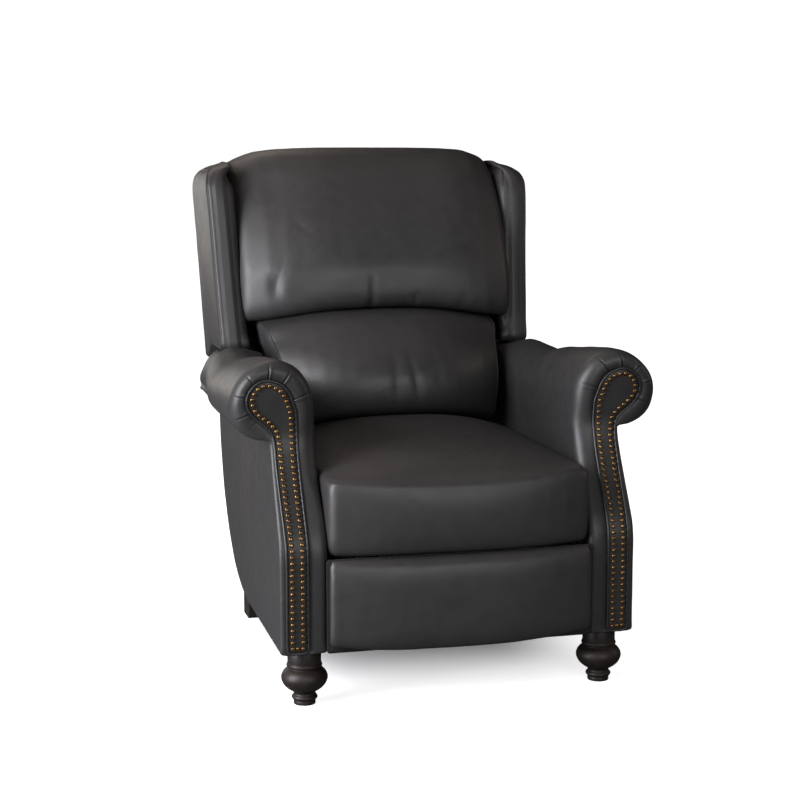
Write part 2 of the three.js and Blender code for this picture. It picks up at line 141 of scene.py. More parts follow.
def ramp(nt, fac, stops):
    r = nt.nodes.new("ShaderNodeValToRGB")
    e = r.color_ramp.elements
    e[0].position, e[0].color = stops[0][0], (*stops[0][1], 1)
    e[1].position, e[1].color = stops[-1][0], (*stops[-1][1], 1)
    for p, c in stops[1:-1]:
        x = e.new(p); x.color = (*c, 1)
    nt.links.new(fac, r.inputs[0])
    return r.outputs[0]


def mapr(nt, fac, lo, hi, a=0.0, b=1.0):
    m = nt.nodes.new("ShaderNodeMapRange")
    m.inputs["From Min"].default_value, m.inputs["From Max"].default_value = a, b
    m.inputs["To Min"].default_value, m.inputs["To Max"].default_value = lo, hi
    nt.links.new(fac, m.inputs["Value"])
    return m.outputs[0]


def bump(nt, height, strength, distance, under=None):
    b = nt.nodes.new("ShaderNodeBump")
    b.inputs["Strength"].default_value, b.inputs["Distance"].default_value = strength, distance
    nt.links.new(height, b.inputs["Height"])
    if under is not None:
        nt.links.new(under, b.inputs["Normal"])
    return b.outputs[0]


def leather(name, base=(0.0315, 0.0310, 0.0318), warm=(0.0375, 0.0358, 0.0352), rough=(0.41, 0.51), grain=1.0):
    m, nt, b = material(name)
    v = coords(nt)
    broad = noise_tex(nt, v, 3.1, 3, 0.5)
    mottled = noise_tex(nt, v, 38, 5, 0.6)
    mix = nt.nodes.new("ShaderNodeMix"); mix.data_type = "RGBA"; mix.blend_type = "MULTIPLY"
    mix.inputs["Factor"].default_value = 0.55
    nt.links.new(ramp(nt, broad, [(0.34, base), (0.68, warm)]), mix.inputs["A"])
    nt.links.new(ramp(nt, mottled, [(0.3, (0.86, 0.86, 0.87)), (0.7, (1.08, 1.07, 1.06))]), mix.inputs["B"])
    nt.links.new(mix.outputs["Result"], b.inputs["Base Color"])
    nt.links.new(mapr(nt, mottled, rough[0], rough[1], 0.3, 0.7), b.inputs["Roughness"])
    b.inputs["Specular IOR Level"].default_value = 0.5
    b.inputs["Coat Weight"].default_value = 0.08
    b.inputs["Coat Roughness"].default_value = 0.34
    vo = nt.nodes.new("ShaderNodeTexVoronoi")
    vo.feature = "DISTANCE_TO_EDGE"
    vo.inputs["Scale"].default_value = 520
    nt.links.new(v, vo.inputs["Vector"])
    cell = ramp(nt, vo.outputs["Distance"], [(0.0, (0, 0, 0)), (0.22, (1, 1, 1))])
    pores = noise_tex(nt, v, 900, 2, 0.5)
    wr = noise_tex(nt, v, 24, 6, 0.62, 0.6)
    n1 = bump(nt, wr, 0.035 * grain, 0.004)
    n2 = bump(nt, cell, 0.11 * grain, 0.00025, n1)
    n3 = bump(nt, pores, 0.07 * grain, 0.0002, n2)
    nt.links.new(n3, b.inputs["Normal"])
    return m


def wood(name, dark, light, scale=(1, 1, 1), rough=(0.28, 0.42), coat=0.35, axis="Z"):
    m, nt, b = material(name)
    st = {"Z": (14, 14, 1.3), "X": (1.3, 14, 14), "Y": (14, 1.3, 14)}[axis]
    v = coords(nt, st)
    g = noise_tex(nt, v, 6.0, 6, 0.62, 1.4)
    fine = noise_tex(nt, v, 60.0, 3, 0.5)
    mix = nt.nodes.new("ShaderNodeMix"); mix.data_type = "RGBA"; mix.blend_type = "MULTIPLY"
    mix.inputs["Factor"].default_value = 0.6
    nt.links.new(ramp(nt, g, [(0.32, dark), (0.66, light)]), mix.inputs["A"])
    nt.links.new(ramp(nt, fine, [(0.35, (0.7, 0.7, 0.7)), (0.7, (1.1, 1.1, 1.1))]), mix.inputs["B"])
    nt.links.new(mix.outputs["Result"], b.inputs["Base Color"])
    nt.links.new(mapr(nt, g, rough[0], rough[1], 0.3, 0.7), b.inputs["Roughness"])
    b.inputs["Coat Weight"].default_value = coat
    b.inputs["Coat Roughness"].default_value = 0.18
    nt.links.new(bump(nt, fine, 0.12, 0.0006), b.inputs["Normal"])
    return m


def metal(name, dark, light, rough=(0.3, 0.5), metallic=1.0, scale=70, bumps=0.06):
    m, nt, b = material(name)
    v = coords(nt)
    n = noise_tex(nt, v, scale, 5, 0.6)
    nt.links.new(ramp(nt, n, [(0.34, dark), (0.66, light)]), b.inputs["Base Color"])
    nt.links.new(mapr(nt, n, rough[1], rough[0], 0.3, 0.7), b.inputs["Roughness"])
    b.inputs["Metallic"].default_value = metallic
    nt.links.new(bump(nt, noise_tex(nt, v, scale * 9, 3, 0.5), bumps, 0.0003), b.inputs["Normal"])
    return m


LEATHER = leather("leather_body")
LEATHER_SEAT = leather("leather_seat", base=(0.0345, 0.0330, 0.0328), warm=(0.0400, 0.0378, 0.0368), rough=(0.42, 0.52))
LEATHER_PANEL = leather("leather_panel", base=(0.0245, 0.0238, 0.0238), warm=(0.0290, 0.0275, 0.0268), rough=(0.42, 0.52))
WELT = leather("leather_welt", base=(0.026, 0.0262, 0.028), warm=(0.032, 0.0318, 0.033), rough=(0.28, 0.38), grain=0.6)
# a paler copy of the body leather for seam rows: its lighter colour is a painted highlight on the raised ridges
SEAM_PAINTED_HIGHLIGHT = leather("leather_seam_painted_highlight", base=(0.040, 0.0395, 0.041), warm=(0.046, 0.0445, 0.044), rough=(0.26, 0.34), grain=0.3)
LINING = leather("black_lining", base=(0.009, 0.009, 0.009), warm=(0.013, 0.0125, 0.012), rough=(0.8, 0.95), grain=2.0)
BRASS = metal("antique_brass", (0.115, 0.062, 0.022), (0.36, 0.215, 0.092), rough=(0.27, 0.38), scale=240, bumps=0.05)
DARK_WOOD = wood("espresso_wood", (0.0085, 0.0056, 0.0042), (0.022, 0.0145, 0.0105), rough=(0.46, 0.60), coat=0.06)
FRAME_WOOD = wood("frame_hardwood", (0.30, 0.19, 0.10), (0.52, 0.37, 0.22), rough=(0.6, 0.8), coat=0.0, axis="X")
PLYWOOD = wood("stained_plywood", (0.050, 0.033, 0.020), (0.095, 0.066, 0.042), rough=(0.6, 0.8), coat=0.0, axis="Y")
STEEL = metal("mechanism_steel", (0.012, 0.012, 0.013), (0.03, 0.03, 0.032), rough=(0.34, 0.5), metallic=0.5, scale=90)
ZINC = metal("zinc_plate", (0.32, 0.33, 0.34), (0.56, 0.57, 0.58), rough=(0.26, 0.44), scale=60)


# ---------------------------------------------------------------- mesh helpers
def cr(points, per=12, closed=False):
    """Smooth curve through points, dense."""
    p = np.asarray(points, float)
    n = len(p)
    out = []
    last = n if closed else n - 1
    for i in range(last):
        if closed:
            a, b, c, d = p[(i - 1) % n], p[i], p[(i + 1) % n], p[(i + 2) % n]
        else:
            a, b, c, d = p[max(i - 1, 0)], p[i], p[i + 1], p[min(i + 2, n - 1)]
        # centripetal parametrisation keeps tight corners from looping
        ta = 0.0
        tb = ta + max(np.linalg.norm(b - a), 1e-6) ** 0.5
        tc = tb + max(np.linalg.norm(c - b), 1e-6) ** 0.5
        td = tc + max(np.linalg.norm(d - c), 1e-6) ** 0.5
        if np.allclose(a, b): a = b - (c - b) * 0.5; ta = tb - (0.5 * np.linalg.norm(c - b)) ** 0.5
        if np.allclose(c, d): d = c + (c - b) * 0.5; td = tc + (0.5 * np.linalg.norm(c - b)) ** 0.5
        for t in np.linspace(tb, tc, per, endpoint=False):
            A1 = (tb - t) / (tb - ta) * a + (t - ta) / (tb - ta) * b
            A2 = (tc - t) / (tc - tb) * b + (t - tb) / (tc - tb) * c
            A3 = (td - t) / (td - tc) * c + (t - tc) / (td - tc) * d
            B1 = (tc - t) / (tc - ta) * A1 + (t - ta) / (tc - ta) * A2
            B2 = (td - t) / (td - tb) * A2 + (t - tb) / (td - tb) * A3
            out.append((tc - t) / (tc - tb) * B1 + (t - tb) / (tc - tb) * B2)
    if not closed:
        out.append(p[-1])
    return np.array(out)


def resample(p, n, closed=False, end=True):
    p = np.asarray(p, float)
    if closed:
        p = np.vstack([p, p[:1]])
    d = np.r_[0, np.cumsum(np.linalg.norm(np.diff(p, axis=0), axis=1))]
    t = np.linspace(0, d[-1], n, endpoint=(end and not closed))
    return np.stack([np.interp(t, d, p[:, k]) for k in range(p.shape[1])], 1)


def smooth_fn(xs, ys, sigma):
    """A table turned into a smooth function."""
    x = np.linspace(xs[0] - 4 * sigma, xs[-1] + 4 * sigma, 1200)
    y = np.interp(x, xs, ys)
    step = x[1] - x[0]
    k = np.arange(-int(3 * sigma / step), int(3 * sigma / step) + 1)
    w = np.exp(-0.5 * (k * step / sigma) ** 2); w /= w.sum()
    ypad = np.pad(y, len(k) // 2, mode="edge")
    ys2 = np.convolve(ypad, w, mode="valid")
    return lambda q: np.interp(q, x, ys2)


def sstep(a, b, x):
    """0 at a, 1 at b, smooth between; a may be the larger one."""
    t = np.clip((np.asarray(x, float) - a) / (b - a), 0, 1)
    return t * t * (3 - 2 * t)


def nz(P, scale, seed=0.0):
    """Smooth noise at points, about -1 to 1."""
    return np.array([mnoise.noise(Vector((p[0] * scale + seed, p[1] * scale - seed, p[2] * scale + 2 * seed))) for p in P])


def obj(name, V, F, mat, body=None, smooth=True, replaces=(), recalc=True):
    V = np.asarray(V, float) + SHIFT
    me = bpy.data.meshes.new(name)
    me.from_pydata([tuple(v) for v in V], [], [tuple(int(i) for i in f) for f in F])
    me.validate()
    if recalc:
        bm = bmesh.new(); bm.from_mesh(me)
        bmesh.ops.remove_doubles(bm, verts=bm.verts, dist=2e-6)
        bmesh.ops.recalc_face_normals(bm, faces=bm.faces)
        bm.to_mesh(me); bm.free()
    o = bpy.data.objects.new(name, me)
    COL.objects.link(o)
    if mat is not None:
        me.materials.append(mat)
    if smooth:
        me.polygons.foreach_set("use_smooth", [True] * len(me.polygons))
    if body:
        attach(o, body)
    if replaces:
        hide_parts(*replaces)
    return o


def strip_faces(R, N, closed=True):
    F = []
    m = N if closed else N - 1
    for i in range(R - 1):
        a = i * N
        for j in range(m):
            k = (j + 1) % N
            F.append((a + j, a + k, a + N + k, a + N + j))
    return F


def loft(rings, caps=(True, True)):
    """rings: (R, N, 3). Closed around; ends closed with a fan."""
    rings = np.asarray(rings, float)
    R, N, _ = rings.shape
    V = rings.reshape(-1, 3)
    F = strip_faces(R, N)
    extra = []
    for which, k in ((caps[0], 0), (caps[1], R - 1)):
        if which:
            c = len(V) + len(extra)
            extra.append(rings[k].mean(0))
            for j in range(N):
                F.append((k * N + j, k * N + (j + 1) % N, c))
    if extra:
        V = np.vstack([V, extra])
    return V, F


def tube(path, r, n=8, closed=False, taper=None):
    """A round tube along a path, frames carried without twist."""
    p = np.asarray(path, float)
    m = len(p)
    if closed:
        t = np.roll(p, -1, 0) - np.roll(p, 1, 0)
    else:
        t = np.gradient(p, axis=0)
    t /= np.linalg.norm(t, axis=1)[:, None] + 1e-12
    u = np.cross(t[0], [0.31, 0.2, 0.93]); u /= np.linalg.norm(u)
    rings = []
    a = np.linspace(0, 2 * np.pi, n, endpoint=False)
    for i in range(m):
        u = u - t[i] * np.dot(u, t[i]); u /= np.linalg.norm(u)
        w = np.cross(t[i], u)
        rr = r if taper is None else r * taper[i]
        rings.append(p[i] + rr * (np.cos(a)[:, None] * u + np.sin(a)[:, None] * w))
    rings = np.array(rings)
    if not closed:
        return loft(rings)
    V = rings.reshape(-1, 3)
    F = strip_faces(m, n)
    # last ring back to the first: match the closest start point
    d = [np.linalg.norm(rings[-1][0] - q) for q in rings[0]]
    s = int(np.argmin(d))
    for j in range(n):
        F.append(((m - 1) * n + j, (m - 1) * n + (j + 1) % n, (j + 1 + s) % n, (j + s) % n))
    return V, F


def merge(parts):
    V, F, k = [], [], 0
    for v, f in parts:
        V.append(np.asarray(v)); F += [tuple(i + k for i in q) for q in f]; k += len(v)
    return np.vstack(V), F


def mirror(V):
    V = np.array(V, float); V[:, 0] *= -1
    return V


SIDES = (("right", 1), ("left", -1))

# ---------------------------------------------------------------- arms
yf = smooth_fn([0.10, 0.298, 0.32, 0.34, 0.38, 0.42, 0.46, 0.49, 0.515, 0.56, 0.60, 0.66],
               [0.000, 0.000, 0.004, 0.012, 0.035, 0.058, 0.078, 0.090, 0.096, 0.093, 0.088, 0.083], 0.012)
yr = smooth_fn([0.106, 0.111, 0.131, 0.153, 0.196, 0.25, 0.308, 0.387, 0.44, 0.5, 0.67],
               [0.30, 0.42, 0.52, 0.575, 0.63, 0.685, 0.735, 0.783, 0.798, 0.80, 0.80], 0.004)
roll_top = smooth_fn([0.0, 0.07, 0.15, 0.23, 0.35, 0.42, 0.46, 0.54, 0.60, 0.635, 0.654, 0.68, 0.70, 0.736, 0.75, 0.762, 0.78, 0.80, 0.84],
                     [0.6585, 0.661, 0.658, 0.650, 0.636, 0.6225, 0.6190, 0.6225, 0.6265, 0.621, 0.615, 0.6118, 0.6095, 0.607, 0.601, 0.5945, 0.583, 0.572, 0.54], 0.007)

NAIL_OUT = [(0.332, 0.121), (0.332, 0.20), (0.332, 0.30), (0.3332, 0.36), (0.3345, 0.42), (0.3352, 0.46), (0.3355, 0.4935), (0.3368, 0.5053), (0.3385, 0.5165),
            (0.3438, 0.5277), (0.3515, 0.5372), (0.3606, 0.5452), (0.3701, 0.5524), (0.3788, 0.5605), (0.3861, 0.5712), (0.3887, 0.5831),
            (0.3854, 0.5947), (0.3778, 0.6049), (0.3679, 0.611), (0.3569, 0.6122)]
NAIL_IN = [(0.312, 0.121), (0.312, 0.20), (0.312, 0.30), (0.3122, 0.38), (0.3124, 0.45), (0.3125, 0.514), (0.3125, 0.526), (0.3128, 0.538), (0.3133, 0.550), (0.3151, 0.562),
           (0.3197, 0.574), (0.3234, 0.586), (0.3285, 0.5953), (0.3366, 0.6042), (0.3467, 0.6089), (0.3569, 0.6122)]
nail_path = np.vstack([cr(NAIL_IN, 10), cr(NAIL_OUT, 10)[::-1][1:]])        # up the inner side, round the head, down the outer


def offset2(p, d):
    t = np.gradient(p, axis=0); t /= np.linalg.norm(t, axis=1)[:, None] + 1e-12
    return p + d * np.stack([-t[:, 1], t[:, 0]], 1)


border_open = offset2(resample(nail_path, 700), 0.0097)
# close the border under the bottom nails with rounded corners
bi, bo = border_open[0], border_open[-1]
border_bottom = cr([bo, (bo[0] - 0.001, 0.1165), (bo[0] - 0.006, 0.1125), (0.322, 0.1118), (bi[0] + 0.006, 0.1125), (bi[0] + 0.001, 0.1165), bi], 8)[1:-1]


def cut_sections(curve, marks, counts):
    """Split a dense open curve at the points closest to marks, in order, and resample each piece."""
    idx = [0]
    for m in marks:
        k = idx[-1] + 1 + int(np.argmin(np.linalg.norm(curve[idx[-1] + 1:] - np.array(m), axis=1)))
        idx.append(k)
    idx.append(len(curve) - 1)
    out = []
    for i, c in enumerate(counts):
        out.append(resample(curve[idx[i]:idx[i + 1] + 1], c + 1)[:-1])
    out.append(curve[-1:])
    return np.vstack(out)


# outer outline of an arm seen from the front (X, Z): inner side up, round the roll, down the outer side
outline_open = np.vstack([
    cr([(0.2632, 0.1185), (0.2632, 0.20), (0.2632, 0.32), (0.2634, 0.44), (0.2632, 0.50), (0.2630, 0.54), (0.2645, 0.577), (0.2755, 0.613), (0.3020, 0.6455),
        (0.3450, 0.6605), (0.3880, 0.6480), (0.4185, 0.6160), (0.4310, 0.5770), (0.4260, 0.5430), (0.4085, 0.5205), (0.3840, 0.5085), (0.3610, 0.5055)], 14),
    cr([(0.3572, 0.5030), (0.3565, 0.492), (0.3565, 0.40), (0.3565, 0.28), (0.3562, 0.1185)], 30)])
COUNTS = [44, 24, 56, 90, 90, 52, 30, 44]
OUT_MARKS = [(0.2634, 0.50), (0.2638, 0.565), (0.3020, 0.6455), (0.3650, 0.6585), (0.4310, 0.5770), (0.4085, 0.5205), (0.3572, 0.5030)]
BOR_MARKS = [(0.3028, 0.50), (0.3060, 0.565), (0.3300, 0.6115), (0.3640, 0.6215), (0.3984, 0.5831), (0.3770, 0.5480), (0.3455, 0.5030)]
A_OUT = cut_sections(outline_open, OUT_MARKS, COUNTS)
A_BOR = cut_sections(border_open, BOR_MARKS, COUNTS)
bottom_n = 10
A_OUT = np.vstack([A_OUT, cr([A_OUT[-1], (0.3545, 0.1115), (0.3490, 0.1085), (0.31, 0.1082), (0.2705, 0.1085), (0.2650, 0.1115), A_OUT[0]], 6)[1:-1][:: 4][:bottom_n]])
bb = resample(border_bottom, len(A_OUT) - len(A_BOR) + 2)[1:-1]
A_BOR = np.vstack([A_BOR, bb])
NA = len(A_OUT)

# pleats: places round the roll's front, by angle about the head's centre, in degrees (0 = outwards, 90 = up)
HEAD_C = np.array([0.357, 0.583])
PLEATS = [(171, 1.0, 0.9), (127, 0.9, 1.0), (92, 1.0, 1.0), (50, 1.0, 1.0), (8, 1.1, 1.0), (-30, 0.8, 0.9), (-52, 0.5, 0.8)]


def arm_depth(X, Z, Y):
    """Shape of the arm behind its front: the roll gets lower and narrower, the outer face comes in."""
    top = roll_top(Y)
    Z2 = np.where(Z > 0.505, 0.505 + (Z - 0.505) * (top - 0.505) / (0.6605 - 0.505), Z)
    w = sstep(0.32, 0.78, Y)
    lobe = sstep(0.500, 0.545, Z)
    Z2 = Z2 + np.clip(top - Z2, 0, None) * 0.75 * sstep(0.55, 0.60, Z) * sstep(0.50, 0.66, Y) * sstep(0.345, 0.325, X)
    X2 = np.where(X > 0.347, 0.347 + (X - 0.347) * (1 - 0.49 * w * lobe), X)
    X2 = X2 - 0.022 * Y * np.where(X > 0.30, sstep(0.30, 0.35, X), 0) * (1 - 0.55 * lobe)
    # it stays just under the wing
    room = np.interp(Y, [0.585, 0.600, 0.652, 0.720, 0.750, 0.800], [0.700, 0.6175, 0.6076, 0.6068, 0.6025, 0.590])
    Z2 = Z2 - np.clip(Z2 - room, 0, None) * sstep(0.392, 0.366, X2)
    return X2, Z2


def arm_shell(side, sx):
    rows = []
    o, b = A_OUT, A_BOR
    dvec = b - o
    dist = np.linalg.norm(dvec, axis=1)
    dn = dvec / dist[:, None]
    ang = np.degrees(np.arctan2(o[:, 1] - HEAD_C[1], o[:, 0] - HEAD_C[0]))
    lobe = sstep(0.50, 0.56, o[:, 1])
    inner = sstep(0.30, 0.275, o[:, 0])
    # depth of the rounding at the front edge, and where across the front it levels out
    r = 0.031 * lobe + (1 - lobe) * (inner * (0.011 + 0.015 * sstep(0.34, 0.46, o[:, 1])) + (1 - inner) * 0.008)
    kc = 0.66 * lobe + (1 - lobe) * (inner * (0.42 + 0.42 * sstep(0.38, 0.48, o[:, 1])) + (1 - inner) * 0.60)
    under = sstep(0.125, 0.112, o[:, 1])
    r = r * (1 - under) + np.minimum(0.004, 0.52 * dist) * under
    # rear cap to the front
    rear = yr(o[:, 1])
    front = yf(o[:, 1]) + r
    med = o.copy(); med[:, 0] = 0.312 + (o[:, 0] - 0.312) * 0.02
    def at(p, Y):
        X2, Z2 = arm_depth(p[:, 0], p[:, 1], Y)
        if sx > 0:
            X2 = X2 + 0.006 * sstep(0.39, 0.431, p[:, 0]) * sstep(0.40, 0.15, Y)
        return np.stack([X2, Y, Z2], 1)
    rr = 0.012
    for k in (1.0, 0.6, 0.25):
        p = np.stack([o[:, 0] + (med[:, 0] - o[:, 0]) * k, o[:, 1]], 1)
        rows.append(at(p, rear))
    for a in (70, 45, 20, 0):
        ca, sa = math.cos(math.radians(a)), math.sin(math.radians(a))
        ins = rr * (1 - ca)
        p = o + dn * ins * np.minimum(1, dist / 0.02)[:, None]
        rows.append(at(p, rear - rr * (1 - sa)))
    S = 1 - np.linspace(0, 1, 46)[1:] ** 0.9
    rear0 = rear - rr
    for s in S:
        Y = front + (rear0 - front) * s
        rows.append(at(o, Y))
    mid_start = len(rows)
    # the front: one full curve from the outline in to the nail panel's border
    for a in np.linspace(0, 90, 13)[1:]:
        ca, sa = math.cos(math.radians(a)), math.sin(math.radians(a))
        p = o + (b - o) * (kc * (1 - ca))[:, None]
        Y = yf(p[:, 1]) + r * (1 - sa) - 0.0025 * lobe * sa
        rows.append(at(p, Y))
    for t in np.linspace(0, 1, 10)[1:]:
        p = o + (b - o) * (kc + (1 - kc) * t)[:, None]
        Y = yf(p[:, 1]) - 0.0025 * lobe * (1 - t * t) + 0.0045 * t ** 3
        rows.append(at(p, Y))
    for k in (0.5, 1.0):                       # tucked in behind the panel
        p = b + (np.stack([np.full(NA, 0.325), b[:, 1]], 1) - b) * np.array([0.5 * k, 0])
        rows.append(np.stack([p[:, 0], yf(p[:, 1]) + 0.009, p[:, 1]], 1))
    rows = np.array(rows)
    # pleats and gathers: grooves along the lines from the outline to the border
    R = len(rows)
    for i in range(mid_start - 9, R - 2):
        # 0 at the far end of the pleats, 1 at the border
        if i < mid_start:
            f = 0.30 * (i - (mid_start - 9)) / 9
        else:
            f = 0.30 + 0.70 * (i - mid_start) / (R - 3 - mid_start)
        env = float(sstep(0.36, 0.74, f)) * (1 - 0.35 * float(sstep(0.92, 1.0, f)))
        for a0, amp, wid in PLEATS:
            da = (ang - a0 + 180) % 360 - 180
            L = np.radians(da) * np.linalg.norm(o - HEAD_C, axis=1)
            groove = np.exp(-(L / (0.0019 * wid)) ** 2)
            lip = np.exp(-((L - 0.0046) / 0.0040) ** 2)
            d = (-0.0030 * groove + 0.0011 * lip) * amp * env * lobe
            # outwards: forward on the front face, radially on the roll
            k = sstep(0.0, 0.45, f)
            rad = o - HEAD_C; rad /= np.linalg.norm(rad, axis=1)[:, None]
            rows[i, :, 1] -= d * k
            rows[i, :, 0] += d * (1 - k) * rad[:, 0]
            rows[i, :, 2] += d * (1 - k) * rad[:, 1]
    # fine gathers where the roll folds in under the neck
    for i in range(mid_start - 3, R - 2):
        f = (i - mid_start + 3) / (R + 1 - mid_start)
        w = np.exp(-((o[:, 0] - 0.385) / 0.018) ** 2) * (o[:, 1] < 0.53) * (o[:, 1] > 0.503)
        rows[i, :, 1] -= 0.0010 * np.sin(o[:, 0] * 1500) * w * f
    # soft unevenness of stuffed leather
    flat = rows.reshape(-1, 3)
    n1 = nz(flat, 9.0, 3.1 * sx) * 0.0011 + nz(flat, 27.0, 1.7 * sx) * 0.0004
    out_dir = np.zeros_like(flat)
    rad = flat.copy(); rad[:, 1] = 0; rad[:, 0] -= 0.33; rad[:, 2] -= 0.45
    out_dir[:, 0] = np.sign(rad[:, 0])
    up = sstep(0.55, 0.60, flat[:, 2])
    out_dir[:, 2] = up
    flat = flat + out_dir * n1[:, None] * sstep(0.11, 0.16, flat[:, 2])[:, None]
    # side panel a little full
    u = sstep(0.02, 0.20, flat[:, 1]) * sstep(0.80, 0.60, flat[:, 1]); v = sstep(0.11, 0.25, flat[:, 2]) * sstep(0.50, 0.38, flat[:, 2])
    flat[:, 0] += np.where(flat[:, 0] > 0.32, 0.0035 * u * v, 0)
    # the inner face stays clear of the cushions
    flat[:, 0] = np.maximum(flat[:, 0], 0.2625)
    V, F = loft(flat.reshape(rows.shape), caps=(False, False))
    if sx < 0:
        V = mirror(V)
    o_ = obj("arm_" + side, V, F, LEATHER, "base",
             replaces=[f"arm_inner_panel_{side}", f"arm_outer_panel_{side}", f"arm_roll_{side}", f"arm_frame_{side}"])
    return o_


def nail_panel(side, sx):
    full = np.vstack([resample(border_open, 360)[:-1], cr([border_open[-1], *border_bottom[::6], border_open[0]], 4)[:-1]])
    med = full.copy()
    m0 = 0.3225
    # middle line: straight up the strip, then to the head's centre
    zc = np.clip(full[:, 1], 0.122, 0.583)
    xc = np.interp(zc, [0.12, 0.50, 0.53, 0.56, 0.583], [m0, 0.3245, 0.3285, 0.343, 0.357])
    med = np.stack([xc, zc], 1)
    rows = []
    for t, dy in ((0.0, 0.0085), (0.0, 0.0035), (0.04, 0.0012), (0.10, 0.0000), (0.22, -0.0007), (0.45, -0.0012), (0.72, -0.0015), (1.0, -0.0016)):
        p = full + (med - full) * t
        rows.append(np.stack([p[:, 0], yf(p[:, 1]) + dy, p[:, 1]], 1))
    V, F = loft(np.array(rows), caps=(False, False))
    if sx < 0: V = mirror(V)
    obj("nail_panel_cover_" + side, V, F, LEATHER_PANEL, "base", replaces=["nail_panel_" + side])
    # welt round the border
    w = np.vstack([resample(offset2(resample(nail_path, 700), 0.0104), 420)[:-1], cr([border_open[-1] + (0.0007, 0), *(border_bottom[::6] - (0, 0.0008)), border_open[0] - (0.0007, 0)], 4)[:-1]])
    path = np.stack([w[:, 0], yf(w[:, 1]) + 0.0002, w[:, 1]], 1)
    V, F = tube(path, 0.0026, 10, closed=True)
    if sx < 0: V = mirror(V)
    obj("nail_panel_welt_" + side, V, F, WELT, "base")
    # nails
    q = resample(nail_path, 2000)
    L = np.r_[0, np.cumsum(np.linalg.norm(np.diff(q, axis=0), axis=1))]
    # length along the leaning front counts too
    yy = yf(q[:, 1]); L = np.r_[0, np.cumsum(np.sqrt(np.sum(np.diff(q, axis=0) ** 2, 1) + np.diff(yy) ** 2))]
    n = int(round(L[-1] / 0.01175))
    pts = [np.array([np.interp(s, L, q[:, 0]), np.interp(s, L, q[:, 1])]) for s in np.linspace(0, L[-1], n + 1)]
    pts.append(np.array([0.322, 0.121]))
    parts = []
    rings = [(1.0, 0.0), (0.99, 0.30), (0.93, 0.58), (0.80, 0.82), (0.58, 0.95), (0.30, 0.995)]
    for k, p in enumerate(pts):
        z = p[1]
        dydz = (yf(z + 0.002) - yf(z - 0.002)) / 0.004
        nrm = np.array([0, -1.0, dydz]); nrm /= np.linalg.norm(nrm)
        nrm = nrm + np.array([RNG.normal(0, 0.03), 0, RNG.normal(0, 0.03)]); nrm /= np.linalg.norm(nrm)
        u = np.cross(nrm, [1.0, 0, 0]); u /= np.linalg.norm(u); w_ = np.cross(nrm, u)
        c = np.array([p[0] + RNG.normal(0, 0.0002), yf(z) - 0.0012, z + RNG.normal(0, 0.0002)])
        a = np.linspace(0, 2 * np.pi, 12, endpoint=False)
        rr, hh = 0.0047 * RNG.normal(1, 0.012), 0.0036
        rs = [c - nrm * 0.0012 + rr * (np.cos(a)[:, None] * u + np.sin(a)[:, None] * w_)]
        for s_, h_ in rings:
            rs.append(c + nrm * hh * h_ + rr * s_ * (np.cos(a)[:, None] * u + np.sin(a)[:, None] * w_))
        parts.append(loft(np.array(rs)))
    V, F = merge(parts)
    if sx < 0: V = mirror(V)
    obj("nails_" + side, V, F, BRASS, "base", replaces=["nail_strip_" + side])


for side, sx in SIDES:
    arm_shell(side, sx)
    nail_panel(side, sx)


# ---------------------------------------------------------------- legs
def lathe(prof, n=48):
    p = np.asarray(prof, float)
    a = np.linspace(0, 2 * np.pi, n, endpoint=False)
    rings = np.stack([np.stack([r * np.cos(a), r * np.sin(a), np.full(n, z)], 1) for r, z in p])
    return loft(rings)


FOOT = cr([(0.0208, 0.0), (0.0212, 0.002), (0.0212, 0.006), (0.0208, 0.0082), (0.0225, 0.0095), (0.0248, 0.0122), (0.0250, 0.0145), (0.0236, 0.0172), (0.0215, 0.0190),
           (0.0208, 0.0215), (0.0216, 0.0240), (0.0262, 0.0272), (0.0335, 0.0322), (0.0400, 0.0390), (0.0440, 0.0470), (0.0450, 0.0525), (0.0438, 0.0590), (0.0398, 0.0655),
           (0.0345, 0.0700), (0.0312, 0.0722), (0.0318, 0.0738), (0.0340, 0.0752), (0.0345, 0.0775), (0.0338, 0.0800), (0.0322, 0.0812)], 3)
for side, sx in SIDES:
    neck = [(0.0322, 0.0820), (0.0325, 0.0835), (0.0325, 0.1060), (0.0315, 0.1076)]
    V, F = lathe([*FOOT.tolist(), *neck])
    V = V + np.array([0.301 * sx, 0.045, 0])
    obj("bun_foot_" + side, V, F, DARK_WOOD, "base", replaces=["front_foot_" + side])
    # rear leg: square, edges eased, a little taper to the floor
    x0, x1 = 0.242, 0.300
    rings = []
    for z, k in [(0.0, 0.93), (0.002, 0.955), (0.03, 0.965), (0.12, 0.985), (0.2285, 1.0)]:
        cx, cy = (x0 + x1) / 2, 0.695 + 0.006 * (1 - z / 0.2285)
        hx, hy, e = (x1 - x0) / 2 * k, 0.030 * k, 0.0035
        ring = []
        for (qx, qy) in ((1, 1), (-1, 1), (-1, -1), (1, -1)):
            for aa in np.linspace(0, 90, 5):
                base = {(1, 1): 0, (-1, 1): 90, (-1, -1): 180, (1, -1): 270}[(qx, qy)]
                t = math.radians(base + aa)
                ring.append((cx + qx * (hx - e) + e * math.cos(t), cy + qy * (hy - e) + e * math.sin(t), z))
        rings.append(ring)
    rings = np.array(rings)
    # top cut to the slope of the arm
    for q, add in ((0.0, 0.0),):
        top = rings[-1].copy()
        top[:, 2] = np.interp(top[:, 1], [0.665, 0.685, 0.725], [0.2290, 0.2480, 0.2945])
        rings[-1] = top
    V, F = loft(rings)
    if sx < 0: V = mirror(V)
    obj("rear_leg_post_" + side, V, F, DARK_WOOD, "base", smooth=False, replaces=["rear_leg_" + side])


